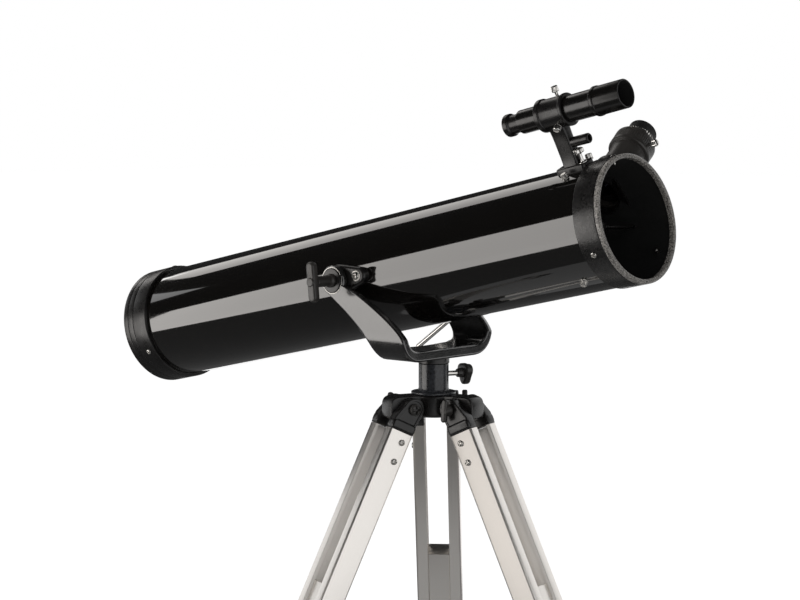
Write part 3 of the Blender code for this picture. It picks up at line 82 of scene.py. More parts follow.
# The tube's own directions at rest, from its tilt and the altitude axis
tilt = math.radians(12.39)
ahead = np.array([math.cos(tilt), 0.0, math.sin(tilt)])
above = np.array([-math.sin(tilt), 0.0, math.cos(tilt)])
aside = np.array([0.0, 1.0, 0.0])
pivot = jointAt["altitude_tilt"]
barrel = frameOf(pivot, above, ahead)             # z along the optical tube
floorUp = frameOf(centre, (1, 0, 0), (0, 0, 1))


def radial(along, degrees):
    # frame on the tube's axis: x along it, z outward at an angle from the tube's top towards the far side
    turn = math.radians(degrees)
    return frameOf(pivot + ahead * along * 0.001, ahead, aside * math.sin(turn) + above * math.cos(turn))


# Polyline with curved corners: quadratic curves between the points one radius away from each corner.
def fillet(corners, radius, steps=4, closed=True):
    points = np.asarray(corners, float)
    radius = np.array(np.broadcast_to(radius, len(points)), float)
    if not closed:
        radius[[0, -1]] = 0.0
    sides = [np.roll(points, way, 0) - points for way in (1, -1)]
    lengths = [np.maximum(np.linalg.norm(side, axis=1), 1e-9) for side in sides]
    start, end = (points + side * (np.minimum(radius, 0.49 * length) / length)[:, None] for side,
                  length in zip(sides, lengths))
    t = np.linspace(0.0, 1.0, steps + 1)[None, :, None]
    curve = (1 - t) ** 2 * start[:, None] + 2 * t * (1 - t) * points[:, None] + t ** 2 * end[:, None]
    return curve.reshape(-1, points.shape[1])


# Closed outline of a profile: its first point again at the end, so that the turned wall closes on itself.
def ring(corners, radius, steps=4):
    points = fillet(corners, radius, steps)
    return join([points, points[:1]])


# Open profile from the axis back to the axis, for a solid turned shape.
def turned(corners, radius, sides=48, ribs=(0, 0.0, 0.0, 0.0)):
    return revolve(fillet(corners, radius, closed=False), sides, ribs)


# Surface of revolution: (r(s) cos a, r(s) sin a, h(s)).
# Ribs (count, depth, low, high) take a cosine wave of that depth off r between two heights.
def revolve(profile, sides=72, ribs=(0, 0.0, 0.0, 0.0)):
    count, depth, low, high = ribs
    turn = np.linspace(0.0, 2 * np.pi, sides, endpoint=False)[None]
    radius, height = np.asarray(profile, float).T[:, :, None]
    wave = depth * ((height > low) & (height < high)) * (0.5 + 0.5 * np.cos(count * turn))
    reach = radius - wave
    return np.stack(np.broadcast_arrays(reach * np.cos(turn), reach * np.sin(turn), height), -1)


# Outline carried along z from low to high, with quarter circles round both rims.
# Sink (inset, depth) dishes the top; an outline's inward step is the mitre of its two sides.
def slab(outline, low, high, edge, steps=3, sink=None):
    points = np.asarray(outline, float)
    points = points[np.linalg.norm(np.roll(points, -1, 0) - points, axis=1) > 1e-4]
    nextOnes = np.roll(points, -1, 0)
    if (points[:, 0] * nextOnes[:, 1] - points[:, 1] * nextOnes[:, 0]).sum() < 0:
        points = points[::-1]
    step = np.roll(points, -1, 0) - points
    step /= np.linalg.norm(step, axis=1)[:, None]
    last = np.roll(step, 1, 0)
    inward = np.stack([-step[:, 1] - last[:, 1], step[:, 0] + last[:, 0]], 1)
    inward /= np.maximum(1 + (step * last).sum(1), 0.3)[:, None]
    q = np.linspace(0.0, np.pi / 2, steps + 1)
    inset = edge * (1 - np.sin(q))
    rise = edge * (1 - np.cos(q))
    inset = join([inset, inset[::-1]])
    height = join([low + rise, high - rise[::-1]])
    if sink:
        inset = np.append(inset, [edge + sink[0], edge + sink[0] + 0.7 * sink[1]])
        height = np.append(height, [high, high - sink[1]])
    flat = points[None] + inward[None] * inset[:, None, None]
    return join([flat, np.broadcast_to(height[:, None, None], flat.shape[:2] + (1,))], -1)


# Block seated on the tube: its underside follows z = sqrt(seat^2 - y^2), its top is flat with a rounded rim.
def saddle(outline, top, edge, seat=61.8, rings=8):
    rim = slab(outline, top - 4 * edge, top, edge)[4:]
    base = rim[0, :, :2]
    share = np.linspace(0.02, 1.0, rings)[:, None, None]
    low = base.mean(0) + (base - base.mean(0))[None] * share
    under = np.sqrt(np.maximum(seat ** 2 - low[..., 1] ** 2, 0.0))
    return join([join([low, under[..., None]], -1), rim])


# Domed screw head: z = rise (1 - (r / radius)^4 / 2), less a cross recess with sloping walls.
def screwHead(radius, rise, sides=48):
    share = np.array([1.0, 1.0, 0.97, 0.9, 0.8, 0.7, 0.62, 0.56, 0.48, 0.4, 0.3, 0.2, 0.1, 0.01])[:, None]
    turn = np.linspace(0.0, 2 * np.pi, sides, endpoint=False)[None]
    x, y = share * np.cos(turn), share * np.sin(turn)
    arm = np.clip((0.19 - np.minimum(abs(x), abs(y))) / 0.08, 0, 1) * np.clip((0.66 - share) / 0.08, 0, 1)
    z = rise * (1 - 0.5 * share ** 4) - 0.7 * rise * arm
    z[0] = -0.4                                   # the skirt sinks into its seat
    z[1] = 0.35 * rise
    return np.stack([radius * x, radius * y, z], -1)


def box(x, y, corner):
    # rectangle between two x and two y values, its corners rounded
    return fillet([(x[0], y[0]), (x[1], y[0]), (x[1], y[1]), (x[0], y[1])], corner)


def circle(radius, middle=(0.0, 0.0), start=0.0, end=360.0, count=48):
    # arc from start to end in degrees, without its last point when it is a whole circle
    turn = np.radians(np.linspace(start, end, count, endpoint=end - start < 360.0))
    return np.stack([middle[0] + radius * np.cos(turn), middle[1] + radius * np.sin(turn)], 1)


def stadium(radius, half, count):
    # bar with round ends, half being the distance from its middle to an end's centre
    return join([circle(radius, (half, 0), -90, 90, count), circle(radius, (-half, 0), 90, 270, count)])


def mirrored(points, signs):
    # outline followed by its own mirror image, in one loop
    points = np.asarray(points, float)
    return join([points, (points * signs)[::-1]])


def bezier(a, b, c, d, count=40):
    # cubic curve on four control points
    t = np.linspace(0.0, 1.0, count)[:, None]
    a, b, c, d = (np.asarray(p, float) for p in (a, b, c, d))
    return (1 - t) ** 3 * a + 3 * t * (1 - t) ** 2 * b + 3 * t ** 2 * (1 - t) * c + t ** 3 * d


# Mesh object from shells (grid, place): quads between rows, caps on open ends, UV map in millimetres.
def meshOf(name, shells):
    points, faces, marks, base = [], [], [], 0
    for grid, place in shells:
        rows, columns = grid.shape[:2]
        index = base + np.arange(rows * columns).reshape(rows, columns)
        side = np.roll(index, -1, 1)
        faces += np.stack([index[:-1], side[:-1], side[1:], index[1:]], -1).reshape(-1, 4).tolist()
        around = np.linalg.norm(np.roll(grid, -1, 1) - grid, axis=2).mean(0)
        along = np.linalg.norm(np.diff(grid, axis=0), axis=2).mean(1)
        u, v = (join([[0.0], np.cumsum(part)]) for part in (around, along))
        u, v = np.stack([u[:-1], u[1:], u[1:], u[:-1]], -1), np.stack([v[:-1], v[:-1], v[1:], v[1:]], -1)
        marks.append(np.stack(np.broadcast_arrays(u[None], v[:, None]), -1).reshape(-1, 2))
        if not np.allclose(grid[0], grid[-1]):
            faces += [index[0, ::-1].tolist(), index[-1].tolist()]
            marks.append(join([grid[0, ::-1, :2], grid[-1, :, :2]]))
        points.append(grid.reshape(-1, 3) * 0.001 @ place[:3, :3].T + place[:3, 3])
        base += rows * columns
    mesh = bpy.data.meshes.new(name)
    mesh.from_pydata(join(points).tolist(), [], faces)
    uvMap = mesh.uv_layers.new(name="UVMap")
    uvMap.uv.foreach_set("vector", join(marks).astype(np.float32).ravel())
    work = bmesh.new()
    work.from_mesh(mesh)
    bmesh.ops.remove_doubles(work, verts=work.verts, dist=2e-6)
    bmesh.ops.dissolve_degenerate(work, edges=work.edges, dist=1e-6)
    bmesh.ops.recalc_face_normals(work, faces=work.faces)
    work.to_mesh(mesh)
    work.free()
    thing = bpy.data.objects.new(name, mesh)
    bpy.context.scene.collection.objects.link(thing)
    return thing


def shade(thing, sharp=35.0):
    thing.data.polygons.foreach_set("use_smooth", np.ones(len(thing.data.polygons), bool))
    thing.data.set_sharp_from_angle(angle=math.radians(sharp))


# Finished piece: mesh less its cut, its material (the slot in the look is not used), the node it stands for
# and the body it rides on.
def piece(name, shells, look, node="", body="optical_tube", cut=None):
    thing = meshOf(name, shells)
    if cut:
        tool = meshOf(name + "Cut", cut)
        change = thing.modifiers.new("cut", "BOOLEAN")
        change.object, change.operation, change.solver = tool, "DIFFERENCE", "EXACT"
        bpy.context.view_layer.update()
        result = bpy.data.meshes.new_from_object(thing.evaluated_get(bpy.context.evaluated_depsgraph_get()))
        thing.modifiers.clear()
        thing.data = result
        bpy.data.objects.remove(tool)
    shade(thing)
    material, slot = look
    thing.data.materials.clear()
    thing.data.materials.append(material)
    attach(thing, body)
    if node:
        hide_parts(node)
    return thing


# Materials
def hexColour(text):
    # sRGB hex to linear RGBA
    value = np.array([int(text[i:i + 2], 16) for i in (1, 3, 5)]) / 255.0
    linear = np.where(value <= 0.04045, value / 12.92, ((value + 0.055) / 1.055) ** 2.4)
    return (*linear.tolist(), 1.0)


def addNode(tree, kind, inputs=None, **settings):
    node = tree.nodes.new("ShaderNode" + kind)
    for name, value in settings.items():
        setattr(node, name, value)
    for name, value in (inputs or {}).items():
        if isinstance(value, bpy.types.NodeSocket):
            tree.links.new(value, node.inputs[name])
        else:
            node.inputs[name].default_value = value
    return node


def startMaterial(name, values):
    material = bpy.data.materials.new(name)
    material.use_nodes = True
    tree = material.node_tree
    shader = tree.nodes["Principled BSDF"]
    for socket, value in values.items():
        shader.inputs[socket].default_value = value
    return material, tree, shader


# Finish with three patterns in object space, sizes in mm: mottled colour, uneven gloss and a fine relief.
# A smaller spread makes the mottle's edges harder.
def finish(name, slot, dark, light, gloss, mottle=18.0, smear=9.0, grain=0.9, relief=0.02, spread=0.3,
           extra=None):
    material, tree, shader = startMaterial(name, extra or {})
    where = addNode(tree, "TexCoord").outputs["Object"]
    cloud = addNode(tree, "TexNoise", {"Vector": where, "Scale": 1000 / mottle, "Detail": 4.0})
    patch = addNode(tree, "MapRange", {"Value": cloud.outputs["Fac"], "From Min": 0.5 - spread,
                                       "From Max": 0.5 + spread})
    tone = addNode(tree, "Mix", {"Factor": patch.outputs["Result"], 6: hexColour(dark),
                                 7: hexColour(light)}, data_type="RGBA")
    tree.links.new(tone.outputs[2], shader.inputs["Base Color"])
    streak = addNode(tree, "TexNoise", {"Vector": where, "Scale": 1000 / smear, "Detail": 5.0})
    rough = addNode(tree, "MapRange", {"Value": streak.outputs["Fac"], "From Min": 0.3, "From Max": 0.7,
                                       "To Min": gloss[0], "To Max": gloss[1]})
    tree.links.new(rough.outputs["Result"], shader.inputs["Roughness"])
    pores = addNode(tree, "TexNoise", {"Vector": where, "Scale": 1000 / grain, "Detail": 2.0})
    bump = addNode(tree, "Bump", {"Height": pores.outputs["Fac"], "Strength": 0.5,
                                  "Distance": relief * 0.001})
    tree.links.new(bump.outputs["Normal"], shader.inputs["Normal"])
    return material, slot


# Extruded aluminium: die lines run the rail's length, about 0.4 mm apart (the UV map is in mm), under a satin
# oxide. The attribute "inside" marks the walls within the section, which are dull oxide and hardly mirror.
railLook = dict(dark="#ece8e3", light="#f4f0eb", inside="#efece8", gloss=(0.30, 0.36), insideGloss=0.45,
                insideMetal=0.15, linesPerMm=2.5, lineFade=0.006)


def extruded(name, slot):
    material, tree, shader = startMaterial(name, {})
    where = addNode(tree, "TexCoord").outputs["UV"]
    inside = addNode(tree, "Attribute", attribute_name="inside").outputs["Fac"]
    lines = addNode(tree, "Mapping", {"Vector": where, "Scale": (railLook["linesPerMm"],
                                                                 railLook["lineFade"], 1.0)})
    streak = addNode(tree, "TexNoise", {"Vector": lines.outputs["Vector"], "Scale": 1.0,
                                        "Detail": 3.0}).outputs["Fac"]
    tone = addNode(tree, "Mix", {"Factor": streak, 6: hexColour(railLook["dark"]),
                                 7: hexColour(railLook["light"])}, data_type="RGBA")
    dull = addNode(tree, "Mix", {"Factor": inside, 6: tone.outputs[2], 7: hexColour(railLook["inside"])},
                   data_type="RGBA")
    tree.links.new(dull.outputs[2], shader.inputs["Base Color"])
    rough = addNode(tree, "MapRange", {"Value": streak, "From Min": 0.3, "From Max": 0.7,
                                       "To Min": railLook["gloss"][0], "To Max": railLook["gloss"][1]})
    worn = addNode(tree, "Mix", {"Factor": inside, 2: rough.outputs["Result"], 3: railLook["insideGloss"]},
                   data_type="FLOAT")
    tree.links.new(worn.outputs[0], shader.inputs["Roughness"])
    bare = addNode(tree, "MapRange", {"Value": inside, "To Min": 1.0, "To Max": railLook["insideMetal"]})
    tree.links.new(bare.outputs["Result"], shader.inputs["Metallic"])
    bump = addNode(tree, "Bump", {"Height": streak, "Strength": 0.12, "Distance": 1e-5})
    tree.links.new(bump.outputs["Normal"], shader.inputs["Normal"])
    return material, slot


# Sprayed gloss enamel: near black, with long clean mirror strips under a clear coat
enamel = finish("glossBlackEnamel", "gloss_black_enamel", "#070605", "#0a0908", (0.05, 0.08), mottle=60.0,
                smear=40.0, grain=6.0, relief=0.004, extra={"Coat Weight": 1.0, "Coat Roughness": 0.03})
# Flat black inside the tube, which swallows light
matt = finish("mattBlackLining", "gloss_black_enamel", "#0a0a0a", "#101010", (0.8, 0.95), grain=1.2,
              relief=0.05)
# Moulded ABS: soft broad highlights on a faint moulded texture
blackAbs = finish("satinBlackAbs", "black_plastic", "#0d0c0c", "#141313", (0.24, 0.34), grain=0.8,
                  relief=0.018)
# Spark-eroded ABS of the front ring: a sparkle of small facets, drawn about 4 times as coarse as real to show
ringAbs = finish("sparkBlackAbs", "black_plastic", "#080808", "#1e1d1d", (0.22, 0.34), mottle=2.0,
                 grain=1.5, relief=0.22, spread=0.12)
# The lip's coarse leather grain: pale grey speckles over black, a painted sparkle of highlight on the grain,
# drawn about twice as coarse as real to show
lipAbsPaintedSparkle = finish("grainedBlackAbsPaintedSparkle", "black_plastic", "#2c2b2a", "#8e8b87", (0.20, 0.34), mottle=1.4,
                grain=1.2, relief=0.36, spread=0.14)
# Dark grey ABS of knobs and drawtube: a little paler and duller than the rings
greyAbs = finish("darkGreyAbs", "dark_grey_plastic", "#222120", "#2e2c2a", (0.30, 0.42), grain=0.9,
                 relief=0.03)
# Painted casting: deep black with a soft clear sheen along its edges
cast = finish("satinBlackCastPaint", "satin_black_casting", "#121212", "#1a1a1a", (0.20, 0.28), grain=1.6,
              relief=0.02, extra={"Coat Weight": 1.0, "Coat Roughness": 0.12, "Coat IOR": 1.6})
# Orange-peel paint of the azimuth post: blue-grey, with a dimpled shine
postPaint = finish("greyOrangePeelPaint", "dark_grey_paint", "#1c1d20", "#2e3034", (0.18, 0.28), mottle=3.0,
                   grain=1.6, relief=0.14, spread=0.15)
# Moulded rubber: dull, with almost no highlight
rubber = finish("blackRubber", "black_rubber", "#0f0f0f", "#171717", (0.62, 0.8), grain=0.8, relief=0.05)
# Finder tube's thin satin paint: a narrow, slightly blurred highlight
finderPaint = finish("satinBlackFinderPaint", "gloss_black_enamel", "#080807", "#0d0c0b", (0.18, 0.26),
                     grain=1.0, relief=0.01)
# Bright plating: a clear mirror, smudged here and there
chrome = finish("polishedChrome", "chrome", "#d2d0cc", "#dedcd9", (0.08, 0.16), smear=5.0, grain=3.0,
                relief=0.002, extra={"Metallic": 1.0})
# Plated steel screws: a softer grey shine
zinc = finish("brightScrewSteel", "chrome", "#b9b7b3", "#cfcdc9", (0.22, 0.34), smear=3.0, grain=0.7,
              relief=0.01, extra={"Metallic": 1.0})
# Front-silvered glass: a near perfect mirror
silver = finish("silveredGlass", "silvered_glass", "#e4e6e8", "#eceef0", (0.01, 0.03), mottle=40.0,
                smear=30.0, grain=20.0, relief=0.0002, extra={"Metallic": 1.0})
# Coated crown glass: clear, with a faint blue-violet cast
glass = finish("coatedGlass", "coated_glass", "#c9d4ee", "#d8d4f0", (0.01, 0.03), mottle=12.0, grain=15.0,
               relief=0.0002, extra={"Transmission Weight": 1.0, "IOR": 1.52})
# Anodised rails: silvery satin with fine lines along them
alloy = extruded("anodisedAluminium", "anodised_aluminium")
print("materials made")


# Optical tube: enamelled outside, matt black lining, with the hole under the focuser
tubeSize = dict(back=-346.4, front=330.0, outer=62.0, middle=61.1, inner=60.5, hole=21.0, focuserAt=262.7,
                focuserTurn=55.0)
focuser = radial(tubeSize["focuserAt"], tubeSize["focuserTurn"])
hole = [(revolve([(0, 40), (tubeSize["hole"], 40), (tubeSize["hole"], 90), (0, 90)]), focuser)]
for name, outer, inner, look, node in (("tubeShell", "outer", "middle", enamel, "main_tube"),
                                       ("tubeLining", "middle", "inner", matt, "")):
    wall = [(tubeSize[outer], tubeSize["back"]), (tubeSize[outer], tubeSize["front"]),
            (tubeSize[inner], tubeSize["front"]), (tubeSize[inner], tubeSize["back"])]
    piece(name, [(revolve(ring(wall, 0.05), 192), barrel)], look, node, cut=hole)

# Front ring, with a groove between it and its grained lip
frontSize = dict(seat=62.1, radius=63.75, back=306.0, front=330.95, lipBack=331.35, lipFront=336.0,
                 mouth=59.0)
seat, radius, back, front, lipBack, lipFront, mouth = frontSize.values()
wall = [(seat, back), (radius, back), (radius, front - 0.45), (radius - 0.65, front), (seat, front)]
piece("frontRing", [(revolve(ring(wall, [0.1, 0.7, 0.3, 0.2, 0.1]), 192), barrel)], ringAbs, "front_ring")
wall = [(seat - 0.05, lipBack), (radius, lipBack), (radius, lipFront), (mouth, lipFront),
        (mouth, lipBack - 1), (seat - 0.05, lipBack - 1)]
piece("frontLip", [(revolve(ring(wall, [0.1, 0.3, 1.9, 1.6, 0.6, 0.1], 6), 192), barrel)], lipAbsPaintedSparkle)

# Rear ring with two grooves and a dished back
rearSize = dict(seat=62.1, radius=65.5, front=-313.0, floor=-346.7, back=-351.0, dish=1.4,
                grooves=(-334.0, -342.5), grooveDeep=0.7)
seat, radius, front, floor, back, dish, grooves, deep = rearSize.values()
groove = np.array([(0, 0.6), (-deep, 0.3), (-deep, -0.3), (0, -0.6)])
wall = [(0, floor), (seat, floor), (seat, front), (radius, front), *(groove + (radius, grooves[0])),
        *(groove + (radius, grooves[1])), (radius, back), (radius - 6.5, back), (radius - 8, back + dish),
        (14, back + dish), (13, back + dish + 0.8), (0, back + dish + 0.8)]
rounds = [0, 0.1, 0.1, 1.0] + [0.2] * 8 + [2.0, 0.6, 0.6, 0.3, 0.3, 0]
piece("rearRing", [(turned(wall, rounds, 192), barrel)], blackAbs, "rear_ring")

# Screws of both rings, with the front ones' tips inside the mouth
ringScrew = dict(front=(318.0, 63.7), rear=(-323.0, 65.4), turns=(2.0, 122.0, -118.0), radius=3.0, rise=1.7)
heads = [(screwHead(ringScrew["radius"], ringScrew["rise"]), radial(along, turn) @ shift(0, 0, out))
         for along, out in (ringScrew["front"], ringScrew["rear"]) for turn in ringScrew["turns"]]
piece("ringScrews", heads, zinc)
tip = turned([(0, 55.6), (1.1, 55.6), (1.6, 56.2), (1.6, 62), (0, 62)], [0, 0.2, 0.3, 0, 0], 24)
piece("ringScrewTips", [(tip, radial(ringScrew["front"][0], turn)) for turn in ringScrew["turns"]], zinc)

# Three pairs of collimation screws on the back, a large and a small one in each
pairSize = dict(reach=38.0, turns=(30, 150, 270), pair=((-7, 4.4), (7, 2.8)), rise=2.2)
behind = barrel @ shift(0, 0, rearSize["back"] + rearSize["dish"]) @ spin(0, 180)
piece("collimationScrews", [(screwHead(size, pairSize["rise"]),
                             behind @ spin(2, turn + turnBy) @ shift(pairSize["reach"], 0, 0))
                            for turn in pairSize["turns"] for turnBy, size in pairSize["pair"]], zinc)

# Mirror cell with its three clips
cellSize = dict(radius=60.2, rim=41.9, bore=38.3, back=-346.4, plate=-341.4, front=-332.4, clipAt=39.5,
                clipTurns=(60, 180, 300))
radius, rim, bore, back, plate, front, clipAt, clipTurns = cellSize.values()
wall = [(0, back), (radius, back), (radius, plate), (rim, plate), (rim, front), (bore, front),
        (bore, plate + 0.2), (0, plate + 0.2)]
clips = [(slab(box((-5, 3), (-4, 4), 1.2), front + 1.4, front + 3.0, 0.5),
          barrel @ spin(2, turn) @ shift(clipAt, 0, 0)) for turn in clipTurns]
piece("mirrorCell", [(turned(wall, [0, 0.6, 0.6, 0.4, 0.8, 0.8, 0.2, 0], 96), barrel)] + clips, blackAbs,
      "mirror_cell")

# Concave primary: its face lies (R^2 - r^2) / (4 f) behind its rim
mirrorSize = dict(radius=38.0, back=-341.1, front=-331.1, focus=700.0)
radius, back, front, focus = mirrorSize.values()
reach = np.linspace(radius, 0.0, 16)
dish = np.stack([reach, front - (radius ** 2 - reach ** 2) / (4 * focus)], 1)
piece("primaryMirror", [(revolve(join([[(0, back), (radius, back)], dish]), 96), barrel)], silver,
      "primary_mirror")

# Spider: hub, three vanes, and a holder cut at 45 degrees to the focuser; the flat mirror lies on the cut
spiderSize = dict(at=286.0, vanes=(-36.0, -146.0, 92.0), hub=8.0, holder=10.0, flatThick=4.2,
                  holderTop=281.5, vaneLow=7.0, vaneTop=60.4)
at, vaneTurns, hubRadius, holderRadius, flatThick, holderTop, vaneLow, vaneTop = spiderSize.values()
facing = math.radians(tubeSize["focuserTurn"])
share = np.array([0.0, 0.5, 1.0, 1.0, 0.5, 0.0])[:, None]
turn = np.linspace(0.0, 2 * np.pi, 48, endpoint=False)[None]
x, y = holderRadius * share * np.cos(turn), holderRadius * share * np.sin(turn)
slope = tubeSize["focuserAt"] + x * math.cos(facing) - y * math.sin(facing)
flat = np.stack([x, y, slope + flatThick * np.array([0, 0, 0, 1, 1, 1])[:, None]], -1)
holder = np.stack([x, y, join([slope[:3] + flatThick + 0.1, np.full((3, 48), holderTop)])], -1)
hub = turned([(0, at - 6), (hubRadius, at - 6), (hubRadius, at + 6), (hubRadius / 2, at + 8), (0, at + 8)],
             [0, 0.8, 1, 0.6, 0])
vane = slab(box((-5, 5), (-0.75, 0.75), 0.3), vaneLow, vaneTop, 0.2)
vanes = [(vane, radial(at, turnBy)) for turnBy in vaneTurns]
piece("vaneSpider", [(hub, barrel), (holder, barrel)] + vanes, blackAbs, "spider")
piece("secondaryMirror", [(flat, barrel)], silver, "secondary_mirror")
nut = turned([(0, 61), (4.2, 61), (4.2, 62.6), (3.4, 62.9), (3.4, 66.2), (2.6, 66.8), (0, 66.8)],
             [0, 0.2, 0.2, 0.2, 0.5, 0.2, 0], 72, (18, 0.35, 63.0, 66.3))
piece("spiderNuts", [(nut, radial(at, turnBy)) for turnBy in vaneTurns], zinc)
print("tube, rings and mirrors made")

# Trunnion brackets: a round boss with a nose ahead of it that carries a bolt on a washer
trunnionSize = dict(boss=16.0, nose=8.5, noseAt=29.0, top=70.2, edge=2.8, boltAt=27.0)
boss, nose, noseAt, top, edge, boltAt = trunnionSize.values()
trunnion = join([circle(boss, (0, 0), 75, 285, 40), circle(nose, (noseAt, 0), -75, 75, 24)])
washer = turned([(0, top - 0.4), (5.6, top - 0.4), (5.6, top + 0.8), (0, top + 0.8)], [0, 0.3, 0.4, 0], 40)
for name, turnBy in (("Near", -90.0), ("Far", 90.0)):
    side = radial(0.0, turnBy)
    piece("trunnion" + name, [(saddle(trunnion, top, edge), side)], blackAbs, "trunnion_" + name.lower())
    piece("trunnionBolt" + name, [(washer, side @ shift(boltAt, 0, 0)),
                                  (screwHead(4.2, 2.4), side @ shift(boltAt, 0, top + 0.8))], zinc)

# Focuser: round housing with a collar, pinion box at its side, and a saddle bored for drawtube and rack
focuserSize = dict(foot=65.5, top=100.0, radius=23.0, collar=24.6, bore=18.8, saddle=27.0, saddleTop=66.5,
                   pinionUp=84.0, pinionOut=25.0, boxOut=32.5, rackWay=(3.6, 21.4))
(foot, top, radius, collar, bore, saddleHalf, saddleTop, pinionUp, pinionOut, boxOut,
 rackWay) = focuserSize.values()
housing = ring([(collar, foot), (collar, foot + 4), (radius, foot + 4.8), (radius, top), (bore, top),
                (bore, foot)], [0.1, 0.8, 0.6, 1.2, 0.5, 0.1])
pinionBox = slab(box((-19, 19), (9, boxOut), 4.0), pinionUp - 11, pinionUp + 11, 2.0, 4)
cover = slab(box((-14, 14), (-8, 8), 2.0), boxOut - 0.3, boxOut + 0.9, 0.5)
coverAt = focuser @ shift(0, 0, pinionUp)
piece("focuserBase", [(revolve(housing, 96), focuser), (pinionBox, focuser), (cover, coverAt @ toY)],
      blackAbs, "focuser_base")
opening = join([circle(bore, (0, 0), 101, 439, 60), [rackWay, (-rackWay[0], rackWay[1])]])
seatBlock = saddle(box((-saddleHalf, saddleHalf), (-saddleHalf, saddleHalf), 5.0), saddleTop, 1.8)
piece("focuserSaddle", [(seatBlock, focuser)], blackAbs, cut=[(slab(opening, 40.0, 90.0, 0.2), focuser)])
corners = [(screwHead(2.7, 1.4), focuser @ shift(x, y, saddleTop - 0.1))
           for x in (-22, 22) for y in (-22, 22)]
coverScrews = [(screwHead(2.2, 1.1), coverAt @ shift(x, boxOut + 0.8, 0) @ toY) for x in (-10, 10)]
piece("focuserScrews", corners + coverScrews, zinc)

# Pinion shaft and its two ribbed knobs with dished ends
knobSize = dict(shaft=2.5, half=32.0, inner=22.0, outer=34.0, radius=12.0, ribs=28, ribDeep=0.9)
shaft, half, inner, outer, radius, ribs, ribDeep = knobSize.values()
shaftAt = focuser @ shift(0, pinionOut, pinionUp)
piece("focusShaft", [(revolve([(0, -half), (shaft, -half), (shaft, half), (0, half)], 36), shaftAt @ toX)],
      chrome, "focus_shaft", "focus_pinion")
wall = [(0, inner), (7, inner), (9, inner + 1), (radius, inner + 1.4), (radius, inner + 1.8),
        (radius, outer - 1.8), (radius, outer - 1), (radius - 1, outer), (radius - 3.5, outer),
        (radius - 4.5, outer - 1), (0, outer - 1)]
knob = turned(wall, [0, 0.5, 0.5, 0.3, 0.1, 0.1, 0.3, 0.5, 0.4, 0.4, 0], 168,
              (ribs, ribDeep, inner + 1.7, outer - 1.3))
for name, place in (("Front", toX), ("Rear", toBackX)):
    piece("focusKnob" + name, [(knob, shaftAt @ place)], greyAbs, "focus_knob_" + name.lower(),
          "focus_pinion")

# Drawtube with its rack, and the eyepiece holder with a ribbed grip
drawSize = dict(tube=18.5, holder=22.3, bore=16.1, foot=66.0, holderFoot=132.2, top=152.0, gripLow=138.2,
                gripHigh=147.8, ribs=60)
tube, holderOut, bore, foot, holderFoot, top, gripLow, gripHigh, ribs = drawSize.values()
wall = [(tube, foot), (tube, holderFoot), (holderOut - 1.1, holderFoot + 0.8),
        (holderOut, holderFoot + 2.2), (holderOut, gripLow - 0.2), (holderOut, gripLow + 0.2),
        (holderOut, gripHigh - 0.2), (holderOut, gripHigh + 0.2), (holderOut, top), (bore, top),
        (bore, foot)]
wall = ring(wall, [0.3, 0.4, 0.5, 0.5, 0.1, 0.1, 0.1, 0.1, 0.9, 0.6, 0.2])
rackSize = dict(pitch=2.513, root=19.4, tip=20.7, back=18.0, half=3.0)
teeth = pinionUp + rackSize["pitch"] * np.arange(-6, 13)[:, None] + np.array([-0.6, -0.3, 0.3, 0.6])
heights = np.broadcast_to([rackSize[key] for key in ("root", "tip", "tip", "root")], teeth.shape)
rack = join([[(rackSize["back"], teeth[0, 0] - 1)], np.stack([heights.ravel(), teeth.ravel()], 1),
             [(rackSize["back"], teeth[-1, -1] + 1)]])
piece("rackDrawtube", [(revolve(wall, 180, (ribs, 0.5, gripLow, gripHigh)), focuser),
                       (slab(rack, -rackSize["half"], rackSize["half"], 0.05, 1),
                        focuser @ frameOf(centre, (0, 1, 0), (1, 0, 0)))], greyAbs, "drawtube", "drawtube")


# Thumbscrew along z: shank to the neck, then a knurled head with a domed end
def thumbscrew(foot, seat):
    neck = seat + 4.0
    return turned([(0, foot), (1.6, foot), (1.6, neck), (3.0, neck), (3.6, neck + 0.6), (3.6, neck + 5.3),
                   (3.0, neck + 6), (0, neck + 6.1)], [0, 0.3, 0.1, 0.3, 0.2, 0.3, 0.5, 0], 96,
                  (20, 0.4, neck + 0.5, neck + 5.4))


piece("eyepieceScrew", [(thumbscrew(16.2, holderOut), focuser @ shift(0, 0, 142.5) @ toX)], chrome,
      "eyepiece_screw", "eyepiece_screw")

# Eyepiece: barrel in the holder, flange, body with a bright ribbed band, lens and rubber eyecup
eyeSize = dict(barrel=15.87, body=14.8, flange=17.0, bore=11.0, foot=128.0, seat=152.3, top=161.3,
               band=17.2, bandLow=157.0, bandHigh=160.8, lensEdge=158.4, lensRise=2.2, cupTop=173.6)
(eyeBarrel, body, flange, bore, foot, seat, top, band, bandLow, bandHigh, lensEdge, lensRise,
 cupTop) = eyeSize.values()
wall = ring([(eyeBarrel, foot), (eyeBarrel, seat), (flange, seat), (flange, seat + 3), (body, seat + 3.5),
             (body, top), (bore, top), (bore, foot)], [0.3, 0.1, 0.4, 0.7, 0.3, 0.2, 0.2, 0.3])
piece("eyepieceBody", [(revolve(wall, 96), focuser)], blackAbs, "eyepiece", "eyepiece")
wall = ring([(body - 0.2, bandLow), (band, bandLow), (band, bandHigh), (body - 0.2, bandHigh)],
            [0.1, 0.6, 0.6, 0.1])
piece("eyepieceBand", [(revolve(wall, 144, (36, 0.7, bandLow + 0.2, bandHigh - 0.2)), focuser)], chrome,
      body="eyepiece")
reach = np.linspace(bore + 0.1, 0, 10)
bulge = np.stack([reach, lensEdge + lensRise * (1 - (reach / reach[0]) ** 2)], 1)
piece("eyepieceLens", [(revolve(join([[(0, 156.5), (reach[0], 156.5)], bulge]), 72), focuser)], glass,
      body="eyepiece")
